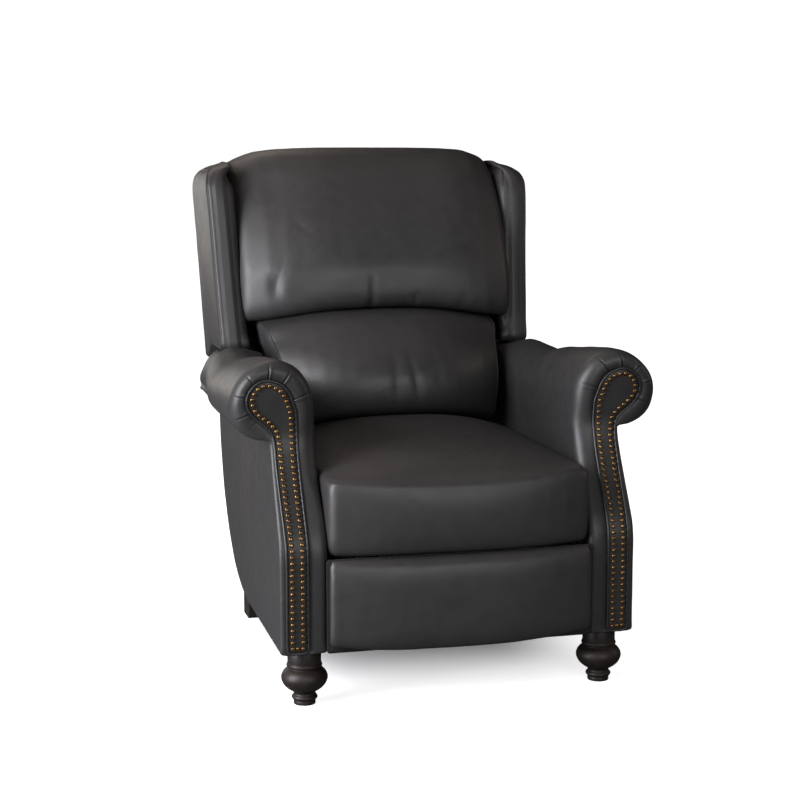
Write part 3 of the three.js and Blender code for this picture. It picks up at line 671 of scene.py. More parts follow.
# ---------------------------------------------------------------- stuffed pieces
def inset_ring(p, d):
    """Move a closed (Y, Z) outline inwards by d."""
    t = np.roll(p, -1, 0) - np.roll(p, 1, 0)
    t /= np.linalg.norm(t, axis=1)[:, None] + 1e-12
    n = np.stack([-t[:, 1], t[:, 0]], 1)
    area2 = np.sum(p[:, 0] * np.roll(p[:, 1], -1) - np.roll(p[:, 0], -1) * p[:, 1])
    if area2 < 0:
        n = -n
    return p + n * (d if np.isscalar(d) else np.asarray(d)[:, None])


def block(profile, half, r, n=150, mid=14, bulge=0.0, shape=None, per=8):
    """A closed form from a (Y, Z) outline swept across X, its side edges rounded with radius r."""
    p = resample(cr(profile, per, closed=True), n, closed=True)
    rows = []
    def ring(x, d):
        q = inset_ring(p, d) if d > 1e-6 else p
        return np.stack([np.full(n, x), q[:, 0], q[:, 1]], 1)
    A = np.linspace(0, 90, 8)
    for a in A[::-1]:                 # a = 90: outermost, most inset
        rows.append(ring(-half + r * (1 - math.sin(math.radians(a))), r * (1 - math.cos(math.radians(a)))))
    for x in np.linspace(-half + r, half - r, mid)[1:-1]:
        rows.append(ring(x, 0.0))
    for a in A:
        rows.append(ring(half - r * (1 - math.sin(math.radians(a))), r * (1 - math.cos(math.radians(a)))))
    rows = np.array(rows)
    flat = rows.reshape(-1, 3)
    if shape is not None:
        flat = shape(flat)
    return loft(flat.reshape(rows.shape))


def remesh(o, voxel):
    m = o.modifiers.new("remesh", "REMESH")
    m.mode, m.voxel_size, m.use_smooth_shade = "VOXEL", voxel, True
    apply_mods(o)


def apply_mods(o):
    dg = bpy.context.evaluated_depsgraph_get()
    dg.update()
    e = o.evaluated_get(dg)
    me = bpy.data.meshes.new_from_object(e, preserve_all_data_layers=False, depsgraph=dg)
    old = o.data
    mats = [m for m in old.materials]
    o.modifiers.clear()
    o.data = me
    me.materials.clear()
    for m in mats:
        me.materials.append(m)
    me.polygons.foreach_set("use_smooth", [True] * len(me.polygons))
    bpy.data.meshes.remove(old)


def co_of(o):
    a = np.zeros(len(o.data.vertices) * 3)
    o.data.vertices.foreach_get("co", a)
    return a.reshape(-1, 3)


def set_co(o, a):
    o.data.vertices.foreach_set("co", np.asarray(a, float).ravel())
    o.data.update()


def normals_of(o):
    a = np.zeros(len(o.data.vertices) * 3)
    o.data.vertices.foreach_get("normal", a)
    return a.reshape(-1, 3)


def inflate(o, pressure=4.0, cap=0.012, frames=20, hold=None, tension=18.0, even=28):
    """Blow the piece up as cloth, then keep each point within cap of where it began."""
    start = co_of(o)
    m = o.modifiers.new("cloth", "CLOTH")
    s = m.settings
    s.quality = 5
    s.mass = 0.4
    s.tension_stiffness = s.compression_stiffness = tension
    s.shear_stiffness = 8
    s.bending_stiffness = 0.9
    s.use_pressure = True
    s.uniform_pressure_force = pressure
    s.effector_weights.gravity = 0.0
    m.collision_settings.use_collision = False
    m.collision_settings.use_self_collision = False
    if hold is not None:
        g = o.vertex_groups.new(name="hold")
        for i, w in enumerate(hold):
            if w > 0.01:
                g.add([i], float(w), "REPLACE")
        s.vertex_group_mass = "hold"
    m.point_cache.frame_start, m.point_cache.frame_end = 1, frames
    for f in range(1, frames + 1):
        SC.frame_set(f)
    apply_mods(o)
    o.vertex_groups.clear()
    SC.frame_set(1)
    end = co_of(o)
    d = end - start
    L = np.linalg.norm(d, axis=1)[:, None]
    d = d * np.minimum(1, cap / np.maximum(L, 1e-9))
    # the stuffing evens the swelling out: full and smooth, without crumples
    e = np.zeros(len(o.data.edges) * 2, dtype=int)
    o.data.edges.foreach_get("vertices", e)
    e = e.reshape(-1, 2)
    count = np.bincount(e.ravel(), minlength=len(d))[:, None]
    for _ in range(even):
        acc = np.zeros_like(d)
        np.add.at(acc, e[:, 0], d[e[:, 1]])
        np.add.at(acc, e[:, 1], d[e[:, 0]])
        d = 0.4 * d + 0.6 * acc / np.maximum(count, 1)
    set_co(o, start + d)


def relax(o, times=2, k=0.5):
    bm = bmesh.new(); bm.from_mesh(o.data)
    for _ in range(times):
        bmesh.ops.smooth_vert(bm, verts=bm.verts, factor=k, use_axis_x=True, use_axis_y=True, use_axis_z=True)
    bm.to_mesh(o.data); bm.free()
    o.data.polygons.foreach_set("use_smooth", [True] * len(o.data.polygons))


def subdivide(o, n=1):
    m = o.modifiers.new("subd", "SUBSURF")
    m.levels = m.render_levels = n
    m.subdivision_type = "CATMULL_CLARK"
    apply_mods(o)


def seg_dist(P, poly):
    """Distance of points to a polyline, in 3D."""
    poly = np.asarray(poly, float)
    best = np.full(len(P), 1e9)
    for a, b in zip(poly[:-1], poly[1:]):
        ab = b - a
        t = np.clip(((P - a) @ ab) / (ab @ ab), 0, 1)
        d = np.linalg.norm(P - (a + t[:, None] * ab), axis=1)
        best = np.minimum(best, d)
    return best


def groove(o, poly, width, depth, raise_=0.35):
    """Press a line into the surface, with the leather standing a little proud beside it."""
    P = co_of(o) - SHIFT
    d = seg_dist(P, poly)
    N = normals_of(o)
    k = -depth * np.exp(-(d / width) ** 2) + raise_ * depth * np.exp(-((d - 2.3 * width) / (1.5 * width)) ** 2)
    k = np.where(d < 7 * width, k, 0)
    set_co(o, co_of(o) + N * k[:, None])


def edge_hold(half, band):
    """Cloth points near the side edges stay put."""
    return lambda P: sstep(half - band, half - 0.35 * band, np.abs(P[:, 0]))


def stuffed(name, V, F, mat, body, replaces, voxel=0.005, pressure=4.0, cap=0.014, pre=None, hold=None, tension=18.0, sub=True, calm=3):
    o = obj(name, V, F, mat, None)
    remesh(o, voxel)
    if hold is not None:
        inflate(o, pressure, cap, hold=hold(co_of(o) - SHIFT), tension=tension)
    else:
        inflate(o, pressure, cap, tension=tension)
    relax(o, calm)
    if pre is not None:
        pre(o)
    if sub:
        subdivide(o)
    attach(o, body)
    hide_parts(*replaces)
    return o


def rest_on(o, under, below, gap=0.0012, reach=0.05):
    """Lift the points of a soft piece that would sink into the piece under it."""
    bvh = BVHTree.FromPolygons([v.co.copy() for v in under.data.vertices], [tuple(p.vertices) for p in under.data.polygons])
    P = co_of(o)
    for i in np.where(P[:, 2] - SHIFT[2] < below)[0]:
        hit = bvh.ray_cast(Vector(P[i] + np.array([0, 0, reach])), Vector((0, 0, -1)), reach + 0.002)
        if hit[0] is not None and hit[0].z + gap > P[i, 2]:
            P[i, 2] = hit[0].z + gap
    set_co(o, P)


def clamp_box(o, lo, hi):
    P = co_of(o) - SHIFT
    P = np.clip(P, lo, hi)
    set_co(o, P + SHIFT)


# seat cushion: boxed, its top crowned down to the arms
SEAT_H = 0.262


def seat_shape(P):
    u = np.abs(P[:, 0]) / SEAT_H
    z0 = P[:, 2].copy()
    P[:, 1] += (0.018 * u ** 2 + 0.013 * u ** 5) * sstep(0.05, -0.02, P[:, 1])
    P[:, 2] = np.where(z0 > 0.440, z0 - (z0 - 0.4395) * u ** 2.8, z0 + 0.010 * u ** 2 * sstep(0.400, 0.425, z0) * sstep(0.03, -0.02, P[:, 1]))
    return P


V, F = block([(0.030, 0.2940), (-0.010, 0.2926), (-0.024, 0.2962), (-0.0305, 0.312), (-0.0335, 0.360), (-0.0325, 0.405), (-0.0290, 0.424), (-0.0225, 0.4325), (-0.008, 0.4395), (0.05, 0.4565), (0.15, 0.4740), (0.30, 0.4865),
              (0.42, 0.4895), (0.50, 0.478), (0.580, 0.456), (0.597, 0.440), (0.599, 0.38), (0.596, 0.330), (0.580, 0.3255), (0.30, 0.3255), (0.050, 0.3245), (0.034, 0.318)], SEAT_H, 0.015, n=200, shape=seat_shape)


def seat_after(o):
    # soft sewn edge between the top and the front band, and down the sides
    groove(o, [(x, -0.0275 + 0.018 * (abs(x) / SEAT_H) ** 2 + 0.013 * (abs(x) / SEAT_H) ** 5, 0.4290 + 0.010 * (abs(x) / SEAT_H) ** 2) for x in np.linspace(-0.255, 0.255, 40)], 0.0020, 0.0011, 0.6)
    for sx in (-1, 1):
        groove(o, [(sx * 0.2575, y, 0.4385) for y in np.linspace(0.0, 0.56, 20)], 0.0022, 0.0012)
    # puckers at the front corners
    P = co_of(o) - SHIFT
    N = normals_of(o)
    k = np.zeros(len(P))
    for cx in (-0.252, 0.252):
        for j, a in enumerate((-0.9, -0.35, 0.25)):
            c = np.array([cx, -0.017, 0.436])
            e = c + np.array([-np.sign(cx) * (0.030 + 0.006 * j), -0.006, 0.012 * a])
            d = seg_dist(P, [c, e])
            t = np.clip(np.linalg.norm(P - c, axis=1) / 0.035, 0, 1)
            k -= 0.0009 * np.exp(-(d / 0.0020) ** 2) * (1 - t)
    for a, b, w, amp in (((-0.20, -0.033, 0.385), (-0.16, -0.034, 0.345), 0.006, 0.0007), ((-0.11, -0.033, 0.40), (-0.085, -0.034, 0.375), 0.005, 0.0005)):
        k -= amp * np.exp(-(seg_dist(P, [a, b]) / w) ** 2)
    k += 0.0011 * nz(P, 6.0, 2.0) + 0.0003 * nz(P, 19.0, 5.0)
    set_co(o, co_of(o) + N * k[:, None])
    clamp_box(o, (-0.2622, -0.042, 0.2924), (0.2622, 0.602, 0.4955))


seat_cushion = stuffed("seat_cushion_cover", V, F, LEATHER_SEAT, "seat", ["seat_cushion"], voxel=0.0055, cap=0.0024, pre=seat_after, hold=edge_hold(SEAT_H, 0.020), calm=5)


# lumbar cushion: a barrel that curves back and down towards its sides
LUM_H = 0.248


def lumbar_shape(P):
    u = np.abs(P[:, 0]) / LUM_H
    y, z = P[:, 1].copy(), P[:, 2].copy()
    P[:, 1] = y + 0.095 * u ** 2.6 * sstep(0.66, 0.45, y)
    P[:, 2] = z - 0.034 * u ** 3 * sstep(0.60, 0.69, z) * sstep(0.80, 0.60, y)
    P[:, 2] -= (0.005 + 0.034 * u ** 3) * sstep(0.535, 0.488, z) * sstep(0.72, 0.60, y)
    # the upper rear corners stand out towards the wings, the lower ones draw in
    P[:, 0] *= 1 + 0.095 * u ** 4 * sstep(0.585, 0.675, P[:, 2]) * sstep(0.47, 0.66, P[:, 1]) - 0.022 * u ** 4 * sstep(0.60, 0.50, z)
    return P


V, F = block([(0.464, 0.4925), (0.4425, 0.503), (0.4310, 0.530), (0.4395, 0.575), (0.4715, 0.625), (0.5205, 0.6665), (0.5655, 0.6905), (0.610, 0.6965), (0.690, 0.6970), (0.742, 0.694), (0.746, 0.66), (0.737, 0.56),
              (0.724, 0.470), (0.700, 0.460), (0.600, 0.4665), (0.510, 0.483)], LUM_H, 0.013, n=180, shape=lumbar_shape)


def side_edge(prof, half, shape, inset):
    """The line along a cushion's side edge, on its shaped surface, for both sides."""
    out = []
    for sx in (-1, 1):
        p = cr(prof, 6)
        P = np.stack([np.full(len(p), sx * (half - inset)), p[:, 0], p[:, 1]], 1)
        out.append(shape(P))
    return out


LUM_EDGE = [(0.464, 0.4925), (0.4425, 0.503), (0.4310, 0.530), (0.4395, 0.575), (0.4715, 0.625), (0.5205, 0.6665), (0.5655, 0.6905), (0.610, 0.6965), (0.690, 0.6970)]


def welted(o, lines, width=0.0016, depth=0.0026):
    """A sewn edge: the seam between two tight rolls of leather."""
    for l in lines:
        groove(o, l, width, depth, 0.55)


def seam_rows(name, o, lines, gap=0.0030, r=0.00095, mat=None, closed=False, lift=0.35, body="back"):
    """A twin-needle seam laid on a finished surface: two fine raised rows with the sewn valley between them."""
    me = o.data
    bvh = BVHTree.FromPolygons([v.co.copy() for v in me.vertices], [tuple(p.vertices) for p in me.polygons])
    parts = []
    for l in lines:
        q = resample(np.asarray(l, float), max(8, int(len_of(l) / 0.004)), closed=closed) + SHIFT
        hit = [bvh.find_nearest(Vector(p)) for p in q]
        c = np.array([h[0] for h in hit]); n = np.array([h[1] for h in hit])
        for _ in range(3):                     # even out the facets
            n[1:-1] = (n[:-2] + 2 * n[1:-1] + n[2:]) / 4
            c[1:-1] = (c[:-2] + 2 * c[1:-1] + c[2:]) / 4
        n /= np.linalg.norm(n, axis=1)[:, None] + 1e-9
        t = (np.roll(c, -1, 0) - np.roll(c, 1, 0)) if closed else np.gradient(c, axis=0)
        t /= np.linalg.norm(t, axis=1)[:, None] + 1e-9
        b = np.cross(t, n); b /= np.linalg.norm(b, axis=1)[:, None] + 1e-9
        for sgn in (-1, 1):
            row = c + b * sgn * gap / 2
            hit = [bvh.find_nearest(Vector(p)) for p in row]
            row = np.array([h[0] for h in hit]) + n * r * lift
            for _ in range(2):
                row[1:-1] = (row[:-2] + 2 * row[1:-1] + row[2:]) / 4
            parts.append(tube(row - SHIFT, r, 6, closed=closed, taper=None if closed else [0.3] + [1.0] * (len(row) - 2) + [0.3]))
    V, F = merge(parts)
    # by default the rows take the paler seam leather, a painted highlight
    return obj(name, V, F, mat or SEAM_PAINTED_HIGHLIGHT, body)


def len_of(l):
    l = np.asarray(l, float)
    return float(np.linalg.norm(np.diff(l, axis=0), axis=1).sum())


def lumbar_after(o):
    welted(o, side_edge(LUM_EDGE, LUM_H, lumbar_shape, 0.0045))
    P = co_of(o) - SHIFT
    N = normals_of(o)
    # shallow upright hollows in the middle of the bulge
    front = sstep(0.60, 0.50, P[:, 1])
    k = np.zeros(len(P))
    for cx, amp, w, lean in ((-0.012, 0.0026, 0.011, 0.0), (0.030, 0.0022, 0.008, -0.15), (0.085, 0.0010, 0.012, -0.2), (-0.12, 0.0008, 0.014, 0.1)):
        k -= amp * np.exp(-((P[:, 0] - cx - lean * (P[:, 2] - 0.56)) / w) ** 2) * front * sstep(0.50, 0.55, P[:, 2]) * sstep(0.64, 0.58, P[:, 2])
    k += 0.0012 * nz(P, 7.0, 11.0) + 0.0003 * nz(P, 22.0, 4.0)
    set_co(o, co_of(o) + N * k[:, None])
    clamp_box(o, (-0.2760, 0.424, 0.4440), (0.2760, 0.754, 0.6995))
    P = co_of(o)
    lim = 0.2505 + 0.0255 * sstep(0.590, 0.660, P[:, 2])
    P[:, 0] = np.clip(P[:, 0], -lim, lim)
    set_co(o, P)
    rest_on(o, seat_cushion, 0.535)


lumbar = stuffed("lumbar_cushion_cover", V, F, LEATHER, "back", ["lumbar_cushion"], voxel=0.0055, cap=0.0028, pre=lumbar_after, hold=edge_hold(LUM_H, 0.018), calm=6)


# the lumbar seam rows take the paler seam leather: painted highlight
seam_rows("lumbar_seam", lumbar, side_edge(LUM_EDGE, LUM_H, lumbar_shape, 0.0045))


# head pillow: hooked over the top rail, its lower corners hanging a little
PIL_H = 0.3085


def pillow_front(z):
    """Where the front of the pillow is, at a height."""
    return np.interp(z, [0.7025, 0.725, 0.770, 0.830, 0.900, 0.964, 1.013, 1.0375, 1.0475], [0.63, 0.6005, 0.6035, 0.6265, 0.6635, 0.7065, 0.7465, 0.7815, 0.826])


def pillow_shape(P):
    u = np.abs(P[:, 0]) / PIL_H
    y, z = P[:, 1].copy(), P[:, 2].copy()
    front = sstep(0.125, 0.03, y - pillow_front(z))
    # it turns away to the wings: the left side broadly, the right side late
    P[:, 1] = y + (0.006 * u ** 2 + np.where(P[:, 0] < 0, 0.070 * u ** 4, 0.034 * u ** 8)) * front
    P[:, 2] = z - np.where(P[:, 0] < 0, 0.038, 0.034) * u ** 2.2 * sstep(0.78, 0.705, z) * sstep(0.72, 0.64, y)
    # the top rounds down to its ends; the under side over the rail stays where it is
    base = np.where(y > 0.84, 1.004, 0.94)
    drop = np.where(P[:, 0] < 0, 0.042 * u ** 8, 0.035 * u ** 13) - 0.0022
    P[:, 2] = np.where(z > base, P[:, 2] - drop * np.clip((z - base) / (1.0475 - base), 0, 1), P[:, 2])
    return P


PIL_FRONT = [(0.655, 0.7025), (0.615, 0.7075), (0.6005, 0.725), (0.6035, 0.770), (0.6265, 0.830), (0.6635, 0.900), (0.7065, 0.964), (0.7465, 1.013), (0.7815, 1.0375), (0.826, 1.0475), (0.868, 1.0445)]
V, F = block([*PIL_FRONT, (0.892, 1.030), (0.897, 1.014), (0.880, 1.0065), (0.845, 1.004), (0.828, 0.97), (0.818, 0.90), (0.806, 0.80), (0.792, 0.725), (0.776, 0.7035), (0.72, 0.7015)], PIL_H, 0.017, n=210, shape=pillow_shape)


def pillow_after(o):
    P = co_of(o) - SHIFT
    N = normals_of(o)
    front = sstep(0.80, 0.70, P[:, 1])
    k = np.zeros(len(P))
    for cx, z0, z1, amp, w in ((-0.024, 0.70, 0.80, 0.0034, 0.007), (0.075, 0.70, 0.745, 0.0018, 0.008), (0.055, 0.70, 0.735, 0.0012, 0.008), (0.19, 0.70, 0.75, 0.0010, 0.012)):
        k -= amp * np.exp(-((P[:, 0] - cx) / w) ** 2) * front * sstep(z1, z0 + 0.02, P[:, 2]) * sstep(z0 - 0.005, z0 + 0.012, P[:, 2])
    c = np.array([-0.238, 0.628, 0.752])       # dimple low on the left
    d = np.linalg.norm((P - c) / np.array([0.8, 2.5, 1.6]), axis=1)
    k -= 0.0040 * np.exp(-(d / 0.0165) ** 2)
    d2 = np.linalg.norm((P - c - np.array([0.024, 0, -0.004])) / np.array([0.6, 2.5, 1.3]), axis=1)
    k += 0.0007 * np.exp(-(d2 / 0.016) ** 2)
    for e in ((-0.215, 0.64, 0.81), (-0.262, 0.65, 0.80)):
        dd = seg_dist(P, [c, e]); t = np.clip(np.linalg.norm(P - c, axis=1) / 0.09, 0, 1)
        k -= 0.0010 * np.exp(-(dd / 0.0045) ** 2) * (1 - t)
    dd = seg_dist(P, [(-0.297, 0.690, 0.925), (-0.25, 0.675, 0.918), (-0.19, 0.672, 0.900), (-0.15, 0.645, 0.865)])
    k -= 0.0009 * np.exp(-(dd / 0.006) ** 2)
    k += 0.0016 * nz(P, 5.5, 21.0) + 0.0004 * nz(P, 18.0, 9.0)
    set_co(o, co_of(o) + N * k[:, None])
    clamp_box(o, (-0.3105, 0.592, 0.662), (0.3105, 0.905, 1.0525))
    # between the wings it is no wider than the room there
    P = co_of(o) - SHIFT
    wing_front = np.interp(P[:, 2], [0.665, 0.762, 0.862, 0.917, 0.951, 0.9815, 1.0015, 1.0132], [0.664, 0.684, 0.702, 0.7115, 0.7185, 0.7305, 0.7495, 0.778])
    room = 0.2895 + 0.052 * (P[:, 2] - 0.611)
    lim = 0.3105 + (np.minimum(room, 0.3105) - 0.3105) * sstep(wing_front - 0.008, wing_front + 0.014, P[:, 1])
    P[:, 0] = np.clip(P[:, 0], -lim, lim)
    set_co(o, P + SHIFT)
    rest_on(o, lumbar, 0.722)


stuffed("head_pillow_cover", V, F, LEATHER, "back", ["head_pillow"], voxel=0.006, cap=0.0034, pre=pillow_after, hold=edge_hold(PIL_H, 0.022), calm=7)


# footrest pad
PAD_H = 0.2615


def foot_shape(P):
    u = np.abs(P[:, 0]) / PAD_H
    P[:, 1] += sstep(0.0, -0.03, P[:, 1]) * (0.011 * u ** 2 + 0.013 * u ** 5)
    P[:, 2] += sstep(0.15, 0.106, P[:, 2]) * (0.0025 + 0.0125 * u ** 2.4)
    return P


V, F = block([(-0.004, 0.1045), (-0.022, 0.1035), (-0.035, 0.1095), (-0.0405, 0.128), (-0.0425, 0.195), (-0.0400, 0.262), (-0.0335, 0.283), (-0.019, 0.2915), (-0.005, 0.290), (-0.0025, 0.195)], PAD_H, 0.0075, n=130, shape=foot_shape)


def foot_after(o):
    P = co_of(o) - SHIFT
    N = normals_of(o)
    k = 0.0011 * nz(P, 8.0, 31.0) + 0.0005 * nz(P, 21.0, 17.0)
    c = np.array([-0.254, -0.030, 0.280])
    d = np.linalg.norm(P - c, axis=1)
    for e in ((-0.205, -0.038, 0.266), (-0.218, -0.038, 0.252), (-0.20, -0.036, 0.279)):
        dd = seg_dist(P, [c, e])
        k -= 0.0016 * np.exp(-(dd / 0.003) ** 2) * (1 - np.clip(d / 0.05, 0, 1))
    k = np.where(P[:, 1] > -0.006, 0, k)
    set_co(o, co_of(o) + N * k[:, None])
    P = co_of(o)                               # its sides reach out to the arms, all but a hair
    m = np.abs(P[:, 0]).max()
    P[:, 0] = np.where(np.abs(P[:, 0]) > 0.24, np.sign(P[:, 0]) * (0.24 + (np.abs(P[:, 0]) - 0.24) * (0.2621 - 0.24) / (m - 0.24)), P[:, 0])
    set_co(o, P)
    clamp_box(o, (-0.2621, -0.0475, 0.1025), (0.2621, -0.0015, 0.2935))


stuffed("footrest_pad_cover", V, F, LEATHER_SEAT, "footrest_board", ["footrest_pad"], voxel=0.0045, cap=0.0020, pre=foot_after, hold=edge_hold(PAD_H, 0.012), calm=4)


# black backing behind the pad, a finger wider than it, shutting the slots beside the pad: a black sheet that paints the
# shade in those slots
rows = []
for y, d in ((-0.0046, 0.0010), (-0.0042, 0.0), (-0.0028, 0.0), (-0.0024, 0.0010)):
    ring = []
    for cx, cz, a0 in ((1, 1, 0), (-1, 1, 90), (-1, -1, 180), (1, -1, 270)):
        for a in np.radians(np.linspace(a0, a0 + 90, 6)):
            ring.append((cx * (0.2672 - d - 0.006) + 0.006 * math.cos(a), y, 0.19955 + cz * (0.09105 - d - 0.006) + 0.006 * math.sin(a)))
    rows.append(ring)
V, F = loft(np.array(rows))
obj("footrest_shade_backing", V, F, LINING, "footrest_board")


# ---------------------------------------------------------------- wings
WING = [(0.655, 0.624), (0.664, 0.665), (0.684, 0.762), (0.702, 0.862), (0.7115, 0.917), (0.7185, 0.951), (0.7305, 0.9815), (0.7495, 1.0015), (0.778, 1.0132), (0.820, 1.0182), (0.868, 1.0157), (0.900, 1.0055), (0.927, 0.985),
        (0.942, 0.955), (0.9385, 0.900), (0.9245, 0.780), (0.9085, 0.650), (0.9005, 0.580), (0.893, 0.5715), (0.868, 0.5715), (0.842, 0.5800), (0.815, 0.6010), (0.795, 0.6080), (0.755, 0.6108), (0.700, 0.6110), (0.663, 0.6130)]


def wing(side, sx):
    p = resample(cr(WING, 8, closed=True), 260, closed=True)
    x0, x1 = 0.2900, 0.3545
    r = 0.013
    rows = []
    def ring(x, d):
        q = inset_ring(p, d)
        return np.stack([np.full(len(p), x), q[:, 0], q[:, 1]], 1)
    c = np.array([0.80, 0.82])
    def shrink(x, k, d):
        q = inset_ring(p, d)
        q = c + (q - c) * k
        return np.stack([np.full(len(p), x), q[:, 0], q[:, 1]], 1)
    for k, dx in ((0.05, 0.0), (0.35, 0.0), (0.65, 0.0), (0.88, 0.0)):
        rows.append(shrink(x0, k, 0.026))
    ri = 0.020                                  # the inner front edge is a fat roll
    tight = 1 - 0.72 * sstep(0.655, 0.630, p[:, 1])   # less rounding underneath
    for a in np.linspace(90, 0, 10):
        rows.append(ring(x0 + ri * (1 - math.sin(math.radians(a))), ri * (1 - math.cos(math.radians(a))) * tight))
    for x in np.linspace(x0 + ri, x1 - r, 7)[1:-1]:
        t = (x - x0) / (x1 - x0)
        rows.append(ring(x, -0.0048 * math.sin(math.pi * t)))
    for a in np.linspace(0, 90, 10):
        rows.append(ring(x1 - r * (1 - math.sin(math.radians(a))), r * (1 - math.cos(math.radians(a)))))
    for k in (0.90, 0.78, 0.62, 0.42, 0.20, 0.05):
        rows.append(shrink(x1 + 0.0035 * (1 - k ** 2), k, r))
    rows = np.array(rows)
    flat = rows.reshape(-1, 3)
    flat[:, 0] += (flat[:, 2] - 0.611) * (0.047 + 0.005 * sstep(x1, x0, flat[:, 0]))
    # the top corner is well rounded towards the outside
    over = np.clip(flat[:, 2] - 0.965, 0, 0.0495)
    inner = np.clip((x0 + 0.052 - flat[:, 0] + (flat[:, 2] - 0.611) * 0.047) / 0.050, 0, 1)
    flat[:, 0] -= (0.046 - np.sqrt(np.maximum(0.046 ** 2 - (over * 0.92) ** 2, 0))) * sstep(0.312, 0.350, flat[:, 0])
    flat[:, 2] -= (0.027 if sx < 0 else 0.014) * inner ** 1.7 * sstep(0.955, 1.015, flat[:, 2]) * sstep(0.925, 0.875, flat[:, 1])
    nn = nz(flat, 8.0, 41 * sx) * 0.0012 + nz(flat, 24, 12 * sx) * 0.0004
    flat[:, 0] += nn * sstep(0.32, 0.345, flat[:, 0])
    flat[:, 1] -= nn * sstep(0.72, 0.68, flat[:, 1])
    V, F = loft(flat.reshape(rows.shape))
    if sx < 0: V = mirror(V)
    o = obj("wing_cover_" + side, V, F, LEATHER, "back", replaces=["wing_" + side])
    # twin seams where the boxing meets the outer and the inner panel
    lines = []
    for d, xx, lean in ((r * 0.30, x1 - r * 0.22, 0.047), (0.0012, 0.3095, 0.010))[:2 if sx > 0 else 1]:
        q = inset_ring(p, d)
        path = np.stack([xx + (q[:, 1] - 0.611) * lean, q[:, 0], q[:, 1]], 1)
        path[:, 0] *= sx
        lines.append(path)
    seam_rows("wing_seam_" + side, o, lines, gap=0.0034, r=0.0009, mat=LEATHER, closed=True)


for side, sx in SIDES:
    wing(side, sx)


# ---------------------------------------------------------------- outside back
rear_y = smooth_fn([0.30, 0.60, 0.96, 1.006], [0.862, 0.896, 0.940, 0.942], 0.02)


def outside_back():
    nx, nzn = 60, 80
    parts = []
    X = np.linspace(-1, 1, nx); Z = np.linspace(0, 1, nzn)
    rows = []
    z0, z1, hx = 0.3015, 1.0055, 0.3005
    def pt(u, v, off):
        z = z0 + (z1 - z0) * v
        x = hx * u
        edge = (1 - abs(u) ** 14) * (1 - abs(2 * v - 1) ** 18)
        puff = 0.0045 * (1 - u * u) ** 0.5 * (1 - (2 * v - 1) ** 4)
        return (x, rear_y(z) - 0.006 * (1 - edge) + (puff if off > 0 else 0) - (0.0 if off > 0 else 0.011), z)
    Vf = [pt(u, v, 1) for v in Z for u in X]
    Vb = [pt(u, v, -1) for v in Z for u in X]
    F = []
    for j in range(nzn - 1):
        for i in range(nx - 1):
            a = j * nx + i
            F.append((a, a + 1, a + nx + 1, a + nx))
            b = a + nx * nzn
            F.append((b, b + nx, b + nx + 1, b + 1))
    n0 = nx * nzn
    rim = [i for i in range(nx)] + [j * nx + nx - 1 for j in range(1, nzn)] + [(nzn - 1) * nx + i for i in range(nx - 2, -1, -1)] + [j * nx for j in range(nzn - 2, 0, -1)]
    for a, b in zip(rim, rim[1:] + rim[:1]):
        F.append((a, a + n0, b + n0, b))
    V = np.array(Vf + Vb)
    parts.append((V, F))
    # side skirts behind the arms
    for sx in (1, -1):
        side = [(0.810, 0.345), (0.818, 0.332), (0.852, 0.315), (0.868, 0.330), (0.888, 0.600), (0.880, 0.606), (0.830, 0.606), (0.822, 0.598)]
        p = resample(cr(side, 6, closed=True), 90, closed=True)
        rows = []
        for x, d in ((0.2865, 0.004), (0.2875, 0.001), (0.290, 0.0), (0.298, 0.0), (0.3004, 0.001), (0.3010, 0.004)):
            q = inset_ring(p, d)
            rows.append(np.stack([np.full(len(p), x), q[:, 0], q[:, 1]], 1))
        v, f = loft(np.array(rows))
        if sx < 0: v = mirror(v)
        parts.append((v, f))
    V, F = merge(parts)
    o = obj("outside_back_cover", V, F, LEATHER, "back", replaces=["outside_back"])
    # piping round the panel
    zz = np.linspace(z0 + 0.004, z1 - 0.004, 60)
    left = [(-hx + 0.001, rear_y(z) + 0.0002, z) for z in zz]
    topl = [(x, rear_y(z1) - 0.0005, z1 - 0.0015) for x in np.linspace(-hx + 0.005, hx - 0.005, 50)]
    right = [(hx - 0.001, rear_y(z) + 0.0002, z) for z in zz[::-1]]
    bot = [(x, rear_y(z0) - 0.0005, z0 + 0.0015) for x in np.linspace(hx - 0.005, -hx + 0.005, 50)]
    V, F = tube(resample(np.array(left + topl + right + bot), 420, closed=True), 0.0030, 8, closed=True)
    obj("outside_back_piping", V, F, WELT, "back")


outside_back()

# ---------------------------------------------------------------- carried-over CAD pieces get their finishes
def finish_nodes(names, mat):
    for n in names:
        o = frame["nodes"][n]
        o.data.materials.clear()
        o.data.materials.append(mat)


N = frame["nodes"]
finish_nodes([n for n in N if n.startswith(("base_plate", "swing_link", "seat_rail", "back_bracket", "lower_link", "parallel_link", "upper_link", "footrest_bracket"))], STEEL)
finish_nodes([n for n in N if n.startswith(("swing_tube", "footrest_torque", "footrest_stabiliser", "seat_spring", "back_spring"))], ZINC)
finish_nodes([n for n in N if n.startswith(("back_post", "back_rail"))], LINING)
finish_nodes([n for n in N if n.startswith(("mid_rail", "rear_rail"))], FRAME_WOOD)
finish_nodes([n for n in N if n.startswith("footrest_board")], LINING)
finish_nodes([n for n in N if n.startswith("seat_frame")], PLYWOOD)

# ---------------------------------------------------------------- floor
fl = bpy.data.meshes.new("floor")
s = 9.0
fl.from_pydata([(-s, -s, 0), (s, -s, 0), (s, s + 4, 0), (-s, s + 4, 0)], [], [(0, 1, 2, 3)])
floor = bpy.data.objects.new("floor", fl)
COL.objects.link(floor)
fm, fnt, fb = material("pale_floor")
fb.inputs["Base Color"].default_value = (0.16, 0.16, 0.16, 1)
fb.inputs["Roughness"].default_value = 0.9
fb.inputs["Specular IOR Level"].default_value = 0.0
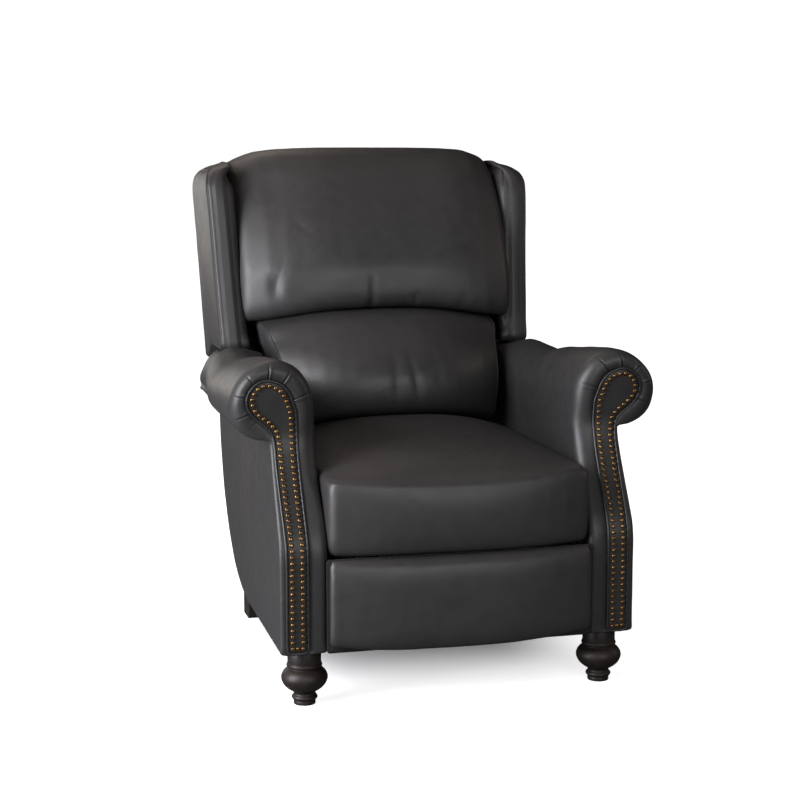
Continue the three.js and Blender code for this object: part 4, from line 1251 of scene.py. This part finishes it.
# seen by the camera only: a brighter floor that glows to white away from the chair, its glow turned down under the
# chair as a painted contact shadow; the chair is not lit by it
ftc = fnt.nodes.new("ShaderNodeTexCoord")
fsep = fnt.nodes.new("ShaderNodeSeparateXYZ")
fnt.links.new(ftc.outputs["Object"], fsep.inputs[0])


def floor_math(op, a, b=None):
    n = fnt.nodes.new("ShaderNodeMath"); n.operation = op
    for k, v in enumerate((a, b)):
        if isinstance(v, (int, float)):
            n.inputs[k].default_value = v
        elif v is not None:
            fnt.links.new(v, n.inputs[k])
    return n.outputs[0]


def floor_step(v, lo, hi):
    n = fnt.nodes.new("ShaderNodeMapRange"); n.interpolation_type = "SMOOTHSTEP"
    n.inputs["From Min"].default_value, n.inputs["From Max"].default_value = lo, hi
    fnt.links.new(v, n.inputs["Value"])
    return n.outputs[0]


# how far out from under the chair, 0 in the middle and 1 outside its outline; under the chair the glow is lowered,
# which paints the shadow there
fx = floor_step(floor_math("ABSOLUTE", floor_math("ADD", fsep.outputs["X"], 0.0)), 0.16, 0.42)
fy = floor_step(floor_math("ABSOLUTE", floor_math("ADD", fsep.outputs["Y"], -0.02)), 0.06, 0.47)
under_chair_painted_shade = floor_math("MULTIPLY", floor_math("SUBTRACT", 1.0, fx), floor_math("SUBTRACT", 1.0, fy))
# glow 0.86 outside the chair's outline, down to 0.06 beneath it: painted shadow
glow_less_painted_shade = floor_math("SUBTRACT", 0.86, floor_math("MULTIPLY", under_chair_painted_shade, 0.80))
flen = fnt.nodes.new("ShaderNodeVectorMath"); flen.operation = "LENGTH"
fnt.links.new(ftc.outputs["Object"], flen.inputs[0])
far = floor_math("MULTIPLY", floor_step(flen.outputs["Value"], 0.7, 1.6), 0.25)
frng = floor_math("ADD", glow_less_painted_shade, far)
glow = fnt.nodes.new("ShaderNodeEmission")
glow.inputs[0].default_value = (1, 1, 1, 1)
fnt.links.new(frng, glow.inputs[1])
lift = fnt.nodes.new("ShaderNodeBsdfDiffuse")
lift.inputs[0].default_value = (0.74, 0.74, 0.74, 1)
flp = fnt.nodes.new("ShaderNodeLightPath")
fadd, fadd2, fmix = fnt.nodes.new("ShaderNodeAddShader"), fnt.nodes.new("ShaderNodeAddShader"), fnt.nodes.new("ShaderNodeMixShader")
fnt.links.new(fb.outputs[0], fadd2.inputs[0]); fnt.links.new(lift.outputs[0], fadd2.inputs[1])
fnt.links.new(fadd2.outputs[0], fadd.inputs[0]); fnt.links.new(glow.outputs[0], fadd.inputs[1])
fnt.links.new(flp.outputs["Is Camera Ray"], fmix.inputs[0])
fnt.links.new(fb.outputs[0], fmix.inputs[1]); fnt.links.new(fadd.outputs[0], fmix.inputs[2])
fnt.links.new(fmix.outputs[0], [n for n in fnt.nodes if n.type == "OUTPUT_MATERIAL"][0].inputs[0])
fl.materials.append(fm)
